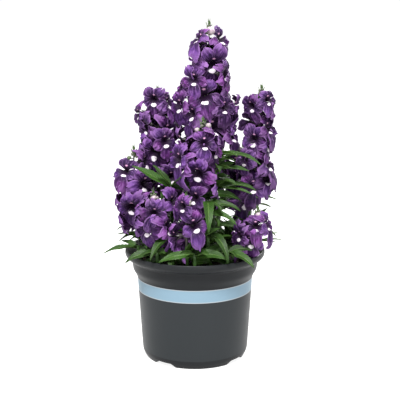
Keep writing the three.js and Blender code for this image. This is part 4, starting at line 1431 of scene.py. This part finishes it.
@functools.cache
def leaf_material():
    """Herb leaf with a thin wax layer: mid green in clouds of about 6 mm and softly glossy above,
    paler and duller below, with a pale midrib, side veins that run forward from it, and a pale
    thin margin."""
    colours = bpy.context.scene.angelonia_leaves
    waxy = {"Roughness": 0.5, "IOR": 1.42, "Specular IOR Level": 0.25}
    material, tree, shader, place = start_material("waxy herb leaf", waxy)
    under, tone = [
        add_node(tree, "Attribute", attribute_name=name).outputs["Fac"]
        for name in ("under", "tone")
    ]
    on_blade = add_node(tree, "UVMap", uv_map="blade")
    along, across, _ = add_node(tree, "SeparateXYZ", [on_blade]).outputs
    side = add_node(tree, "Math", [across], operation="ABSOLUTE")
    mottle = add_node(tree, "TexNoise", {"Vector": place, "Scale": 180.0, "Detail": 4.0})
    shade = add_node(tree, "Math", [mottle, tone], operation="ADD")
    paler = add_node(tree, "MapRange", [shade, 0.4, 1.6, 0, 1])
    # Side veins leave the midrib every 3 mm or so and slant towards the tip.
    slant = add_node(tree, "Math", [side, -0.16, along], operation="MULTIPLY_ADD")
    turns = add_node(tree, "Math", [slant, 78.0], operation="MULTIPLY")
    wave = add_node(tree, "Math", [turns], operation="SINE")
    veins = add_node(tree, "MapRange", [wave, 0.7, 1, 0, 0.3])
    midrib = add_node(tree, "MapRange", [side, 0.13, 0.04, 0, 0.75])
    margin = add_node(tree, "MapRange", [side, 0.9, 1, 0, 0.4])
    dull = add_node(tree, "Math", [under, 0.4], operation="MULTIPLY")
    pale_coats = [(share, colours.vein) for share in (veins, midrib, margin, dull)]
    base = coated(tree, colours.blade_deep, (paler, colours.blade), *pale_coats)
    bump = add_node(tree, "Bump", {"Height": wave, "Strength": 0.24, "Distance": 0.3 * MM})
    fill(tree, shader, {"Base Color": base, "Normal": bump})
    return material


def pot_material():
    """Injection-moulded polypropylene, filled with carbon black: satin, with clouds of 17 mm and a
    matt grain, drawn 1 mm coarse to show. A printed stripe with thin white borders runs round the
    body. Below the stripe the body is painted paler and bluer than the foot, the collar and the
    lip:
    painted light on the open body, which leaves the collar under the lip in painted shade."""
    settings = bpy.context.scene.angelonia_pot
    moulded = {"IOR": 1.49, "Specular IOR Level": 0.14}
    material, tree, shader, place = start_material("moulded satin polypropylene", moulded)
    height = add_node(tree, "SeparateXYZ", [place]).outputs["Z"]
    clouds = add_node(tree, "TexNoise", {"Vector": place, "Scale": 60.0, "Detail": 5.0})
    plastic = coated(tree, settings.plastic, (clouds, settings.plastic_pale))
    foot, blur, crisp = FOOT_LINE * MM, FOOT_BLUR * MM, PRINT_BLUR * MM
    low, high = settings.stripe_low, settings.stripe_high
    # From the foot line up to the stripe the body is painted paler and bluer: painted light,
    # against which the collar above keeps the darker plastic as painted shade under the lip.
    painted_light_on_body = add_node(tree, "MapRange", [height, foot, foot + blur, 0, 0.9])
    above = add_node(tree, "MapRange", [height, low - crisp, low + crisp, 0, 1])
    off = add_node(tree, "Math", [height, (low + high) / 2], operation="SUBTRACT")
    apart = add_node(tree, "Math", [off], operation="ABSOLUTE")
    coats = [(painted_light_on_body, settings.body), (above, plastic)]
    half = (high - low) / 2
    inner = half - STRIPE_BORDER * MM
    for limit, colour in ((half, settings.stripe_border), (inner, settings.stripe)):
        inside = add_node(tree, "MapRange", [apart, limit + crisp, limit - crisp, 0, 1])
        coats.append((inside, colour))
    base = coated(tree, plastic, *coats)
    least, most = settings.roughness - 0.06, settings.roughness + 0.08
    rough = add_node(tree, "MapRange", [clouds, 0, 1, least, most])
    grained = add_node(tree, "TexNoise", {"Vector": place, "Scale": 900.0, "Detail": 3.0})
    bump = add_node(tree, "Bump", {"Height": grained, "Strength": 0.12, "Distance": 0.2 * MM})
    fill(tree, shader, {"Base Color": base, "Roughness": rough, "Normal": bump})
    return material


def soil_material():
    """Peat and bark mix: matt, nearly black when moist, with brown crumbs of 1 to 2 mm."""
    moist = {"Roughness": 0.95, "IOR": 1.35}
    material, tree, shader, place = start_material("moist peat and bark", moist)
    crumbs = add_node(tree, "TexVoronoi", {"Vector": place, "Scale": 620.0})
    base = coated(tree, linear("15110e"), (crumbs, linear("352a20")))
    bump = add_node(tree, "Bump", {"Height": crumbs, "Strength": 0.8, "Distance": 0.8 * MM})
    fill(tree, shader, {"Base Color": base, "Normal": bump})
    return material


def floor_material():
    """White acrylic light table: matt, and lit evenly from below, so that shadows stay faint."""
    lit = {
        "Roughness": 0.9,
        "IOR": 1.45,
        "Emission Color": linear("ffffff"),
        "Emission Strength": 0.88,
    }
    material, tree, shader, place = start_material("matt white light table", lit)
    clouds = add_node(tree, "TexNoise", {"Vector": place, "Scale": 40.0, "Detail": 2.0})
    base = coated(tree, linear("888888"), (clouds, linear("8f8f8f")))
    fill(tree, shader, {"Base Color": base})
    return material


# Settings


def colour_property(name, code, description):
    """A colour property whose default is an sRGB hex colour."""
    return FloatVectorProperty(
        name=name,
        description=description,
        subtype="COLOR",
        size=4,
        min=0,
        max=1,
        default=linear(code),
    )


def length_property(name, length, description):
    """A length property whose default is given in millimetres."""
    return FloatProperty(
        name=name, description=description, default=length * MM, min=0, unit="LENGTH"
    )


def share_property(name, share, description, most=1):
    """A property that holds a share."""
    return FloatProperty(
        name=name, description=description, default=share, min=0, max=most, subtype="FACTOR"
    )


class PotSettings(bpy.types.PropertyGroup):
    """Stripe and plastic of the pot."""

    stripe_low: length_property("Stripe foot", 61.5, "Height of the stripe's lower edge")
    stripe_high: length_property("Stripe top", 73.05, "Height of the stripe's upper edge")
    roughness: share_property("Roughness", 0.42, "Roughness of the moulded plastic")
    plastic: colour_property("Plastic", "131416", "Main colour of the plastic")
    plastic_pale: colour_property("Pale plastic", "1c1e20", "Colour of its paler clouds")
    # body is the plastic painted paler and bluer, as painted light on the body below the stripe.
    body: colour_property("Body", "242729", "Colour of the plastic below the stripe")
    stripe: colour_property("Stripe", "6a818f", "Colour of the stripe")
    stripe_border: colour_property("Stripe border", "8a9196", "Colour of the stripe's borders")


class BloomSettings(bpy.types.PropertyGroup):
    """Colours and ripple of the petals."""

    ripple: length_property("Ripple", 0.5, "How far the margin of a petal waves")
    petal: colour_property("Petal", "4d2b68", "Colour of the paler blooms")
    petal_red: colour_property("Redder petal", "6a2d72", "Colour of the redder petals")
    # The deep petal colour is also the painted shade at the petals' roots.
    petal_deep_and_shade: colour_property("Deep petal", "1a0827", "Colour of the deeper blooms and clouds")
    # The margin colour is also the painted highlight at the petals' ends and sides.
    margin: colour_property("Margin", "795688", "Colour of the margins and backs")
    # The throat colour is also the painted shade in the throat.
    throat: colour_property("Throat", "140519", "Colour of the throat and the veins")
    blotch: colour_property("Blotch", "bcb3bb", "Colour of the blotch on the lip")
    mark: colour_property("Mark", "c48fb4", "Colour of the mark above the throat")


class LeafSettings(bpy.types.PropertyGroup):
    """Teeth and colours of the leaves."""

    teeth: IntProperty(
        name="Teeth",
        description="Number of teeth on each side of a leaf",
        default=9,
        min=2,
        max=20,
    )
    tooth_depth: share_property(
        "Tooth depth", 0.07, "How far teeth stand out, as a share of the blade's width", most=0.3
    )
    blade: colour_property("Blade", "24420f", "Colour of the paler leaves")
    blade_deep: colour_property("Deep blade", "112209", "Colour of the deeper leaves")
    vein: colour_property("Vein", "445c2a", "Colour of the midrib, veins and margin")


class StageSettings(bpy.types.PropertyGroup):
    """Camera and light."""

    camera_height: length_property(
        "Camera height", 303.7, "Height of the camera above the floor"
    )
    camera_distance: length_property(
        "Camera distance", 800.8, "Level distance from the pot's middle to the camera"
    )
    camera_side: length_property(
        "Camera side", 4.5, "How far the camera stands to the right of the pot's middle"
    )
    camera_pitch: FloatProperty(
        name="Camera pitch",
        description="How far the camera looks down",
        default=math.radians(11.484),
        unit="ROTATION",
        subtype="ANGLE",
    )
    lens: FloatProperty(
        name="Lens",
        description="Focal length of the camera, in millimetres",
        default=83.12,
        min=1,
        unit="CAMERA",
    )
    light: FloatProperty(
        name="Light",
        description="Strength of the studio light",
        default=1,
        min=0,
        subtype="FACTOR",
    )


# Operators


class ANGELONIA_OT_pot(bpy.types.Operator):
    """Make the nursery pot with its flared lip, stripe, notched foot and drain holes"""

    bl_idname = "angelonia.pot"
    bl_label = "Pot"

    def execute(self, context):
        patch = Patchwork()
        patch.add(pot_rings(sides=240))
        piece = patch.make("nursery_pot", [pot_material()], sharp=40)
        for i in range(NOTCH_COUNT):
            place = outwards(NOTCH_TURN + 360 * i / NOTCH_COUNT) * DRAIN_REACH
            heights = [[FLOOR_RISE - 2], [FLOOR_RISE + WALL / 2], [FLOOR_RISE + WALL + 2]]
            drill = Patchwork()
            drill.add(tube(place + UP * np.array(heights), [DRAIN_RADIUS] * 3, 32))
            cutter = drill.make("drill", [])
            cut = piece.modifiers.new("drain hole", "BOOLEAN")
            cut.operation = "DIFFERENCE"
            cut.object = cutter
            with context.temp_override(object=piece, active_object=piece):
                bpy.ops.object.modifier_apply(modifier=cut.name)
            bpy.data.objects.remove(cutter)
        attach(piece, "root")
        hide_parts("pot")
        return {"FINISHED"}


class ANGELONIA_OT_soil(bpy.types.Operator):
    """Make the soil that fills the pot, with its crumbly surface"""

    bl_idname = "angelonia.soil"
    bl_label = "Soil"

    def execute(self, context):
        patch = Patchwork()
        patch.add(soil_rings(sides=180))
        piece = patch.make("potting_soil", [soil_material()], sharp=80)
        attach(piece, "root")
        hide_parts("soil")
        return {"FINISHED"}


class ANGELONIA_OT_blooms(bpy.types.Operator):
    """Make the blooms of every spike"""

    bl_idname = "angelonia.blooms"
    bl_label = "Blooms"

    def execute(self, context):
        stems, blooms = grown()
        for spike, stem in zip(SPIKES, stems):
            node = "blooms_" + spike["name"]
            make_blooms(node, blooms[node], stem["axis"], spike)
        return {"FINISHED"}


class ANGELONIA_OT_buds(bpy.types.Operator):
    """Make the growing tip of every spike, with its buds and bracts"""

    bl_idname = "angelonia.buds"
    bl_label = "Buds"

    def execute(self, context):
        stems, _ = grown()
        for spike, stem in zip(SPIKES, stems):
            make_buds("buds_" + spike["name"], stem["axis"], spike)
        return {"FINISHED"}


class ANGELONIA_OT_stems(bpy.types.Operator):
    """Make the stems of all shoots with their toothed leaves"""

    bl_idname = "angelonia.stems"
    bl_label = "Stems and leaves"

    def execute(self, context):
        stems, _ = grown()
        for stem in stems:
            make_stem(stem)
        return {"FINISHED"}


def add_area_light(name, place, size, power):
    """A square soft light at a place, turned towards the middle of the plant."""
    data = bpy.data.lights.new(name, "AREA")
    data.shape = "SQUARE"
    data.size = size
    data.energy = power
    light = bpy.data.objects.new(name, data)
    bpy.context.scene.collection.objects.link(light)
    away = unit(np.array(place, float) - np.array(LIT_POINT, float))
    right = unit(np.cross(UP, away))
    up = np.cross(away, right)
    rows = [(right[i], up[i], away[i], place[i]) for i in range(3)]
    light.matrix_world = Matrix([*rows, (0, 0, 0, 1)])


class ANGELONIA_OT_stage(bpy.types.Operator):
    """Make the floor, the soft studio light and the camera"""

    bl_idname = "angelonia.stage"
    bl_label = "Stage"

    def execute(self, context):
        settings = context.scene.angelonia_stage
        floor = bpy.data.meshes.new("floor")
        reach = FLOOR_REACH
        corners = [(-reach, -reach, 0), (reach, -reach, 0), (reach, reach, 0), (-reach, reach, 0)]
        floor.from_pydata(corners, [], [(0, 1, 2, 3)])
        floor.materials.append(floor_material())
        ground = bpy.data.objects.new("floor", floor)
        context.scene.collection.objects.link(ground)
        world = bpy.data.worlds.new("white studio")
        world.use_nodes = True
        sky = world.node_tree.nodes["Background"]
        sky.inputs["Color"].default_value = (1, 1, 1, 1)
        sky.inputs["Strength"].default_value = SKY_STRENGTH * settings.light
        context.scene.world = world
        context.scene.view_settings.view_transform = "Standard"
        for name, place, size, power in LIGHTS:
            add_area_light(name, place, size, power * settings.light)
        camera_data = bpy.data.cameras.new("camera")
        camera_data.lens = settings.lens
        camera_data.sensor_width = SENSOR_WIDTH
        camera_data.clip_start, camera_data.clip_end = CLIP_RANGE
        camera = bpy.data.objects.new("camera", camera_data)
        context.scene.collection.objects.link(camera)
        place = (settings.camera_side, -settings.camera_distance, settings.camera_height)
        camera.location = place
        camera.rotation_euler = (math.pi / 2 - settings.camera_pitch, 0, 0)
        context.scene.camera = camera
        return {"FINISHED"}


class ANGELONIA_PT_panel(bpy.types.Panel):
    """Lists the operators and their settings in the sidebar"""

    bl_idname = "ANGELONIA_PT_panel"
    bl_label = "Potted angelonia"
    bl_space_type = "VIEW_3D"
    bl_region_type = "UI"
    bl_category = "Angelonia"

    def draw(self, context):
        for operator in OPERATORS:
            self.layout.operator(operator.bl_idname)
        for name, group in SETTINGS.items():
            box = self.layout.box()
            for key in group.__annotations__:
                box.prop(getattr(context.scene, name), key)


SETTINGS = {
    "angelonia_pot": PotSettings,
    "angelonia_blooms": BloomSettings,
    "angelonia_leaves": LeafSettings,
    "angelonia_stage": StageSettings,
}
OPERATORS = [
    ANGELONIA_OT_pot,
    ANGELONIA_OT_soil,
    ANGELONIA_OT_blooms,
    ANGELONIA_OT_buds,
    ANGELONIA_OT_stems,
    ANGELONIA_OT_stage,
]


def register():
    """Registers the settings, the operators and the panel."""
    for name, group in SETTINGS.items():
        bpy.utils.register_class(group)
        setattr(bpy.types.Scene, name, PointerProperty(type=group))
    for known in [*OPERATORS, ANGELONIA_PT_panel]:
        bpy.utils.register_class(known)


def unregister():
    """Removes what register added, in the opposite order."""
    for known in reversed([*OPERATORS, ANGELONIA_PT_panel]):
        bpy.utils.unregister_class(known)
    for name, group in reversed(SETTINGS.items()):
        delattr(bpy.types.Scene, name)
        bpy.utils.unregister_class(group)


def main():
    """Makes every piece and the stage."""
    register()
    bpy.ops.angelonia.pot()
    bpy.ops.angelonia.soil()
    bpy.ops.angelonia.blooms()
    bpy.ops.angelonia.buds()
    bpy.ops.angelonia.stems()
    bpy.ops.angelonia.stage()


if __name__ == "__main__":
    main()
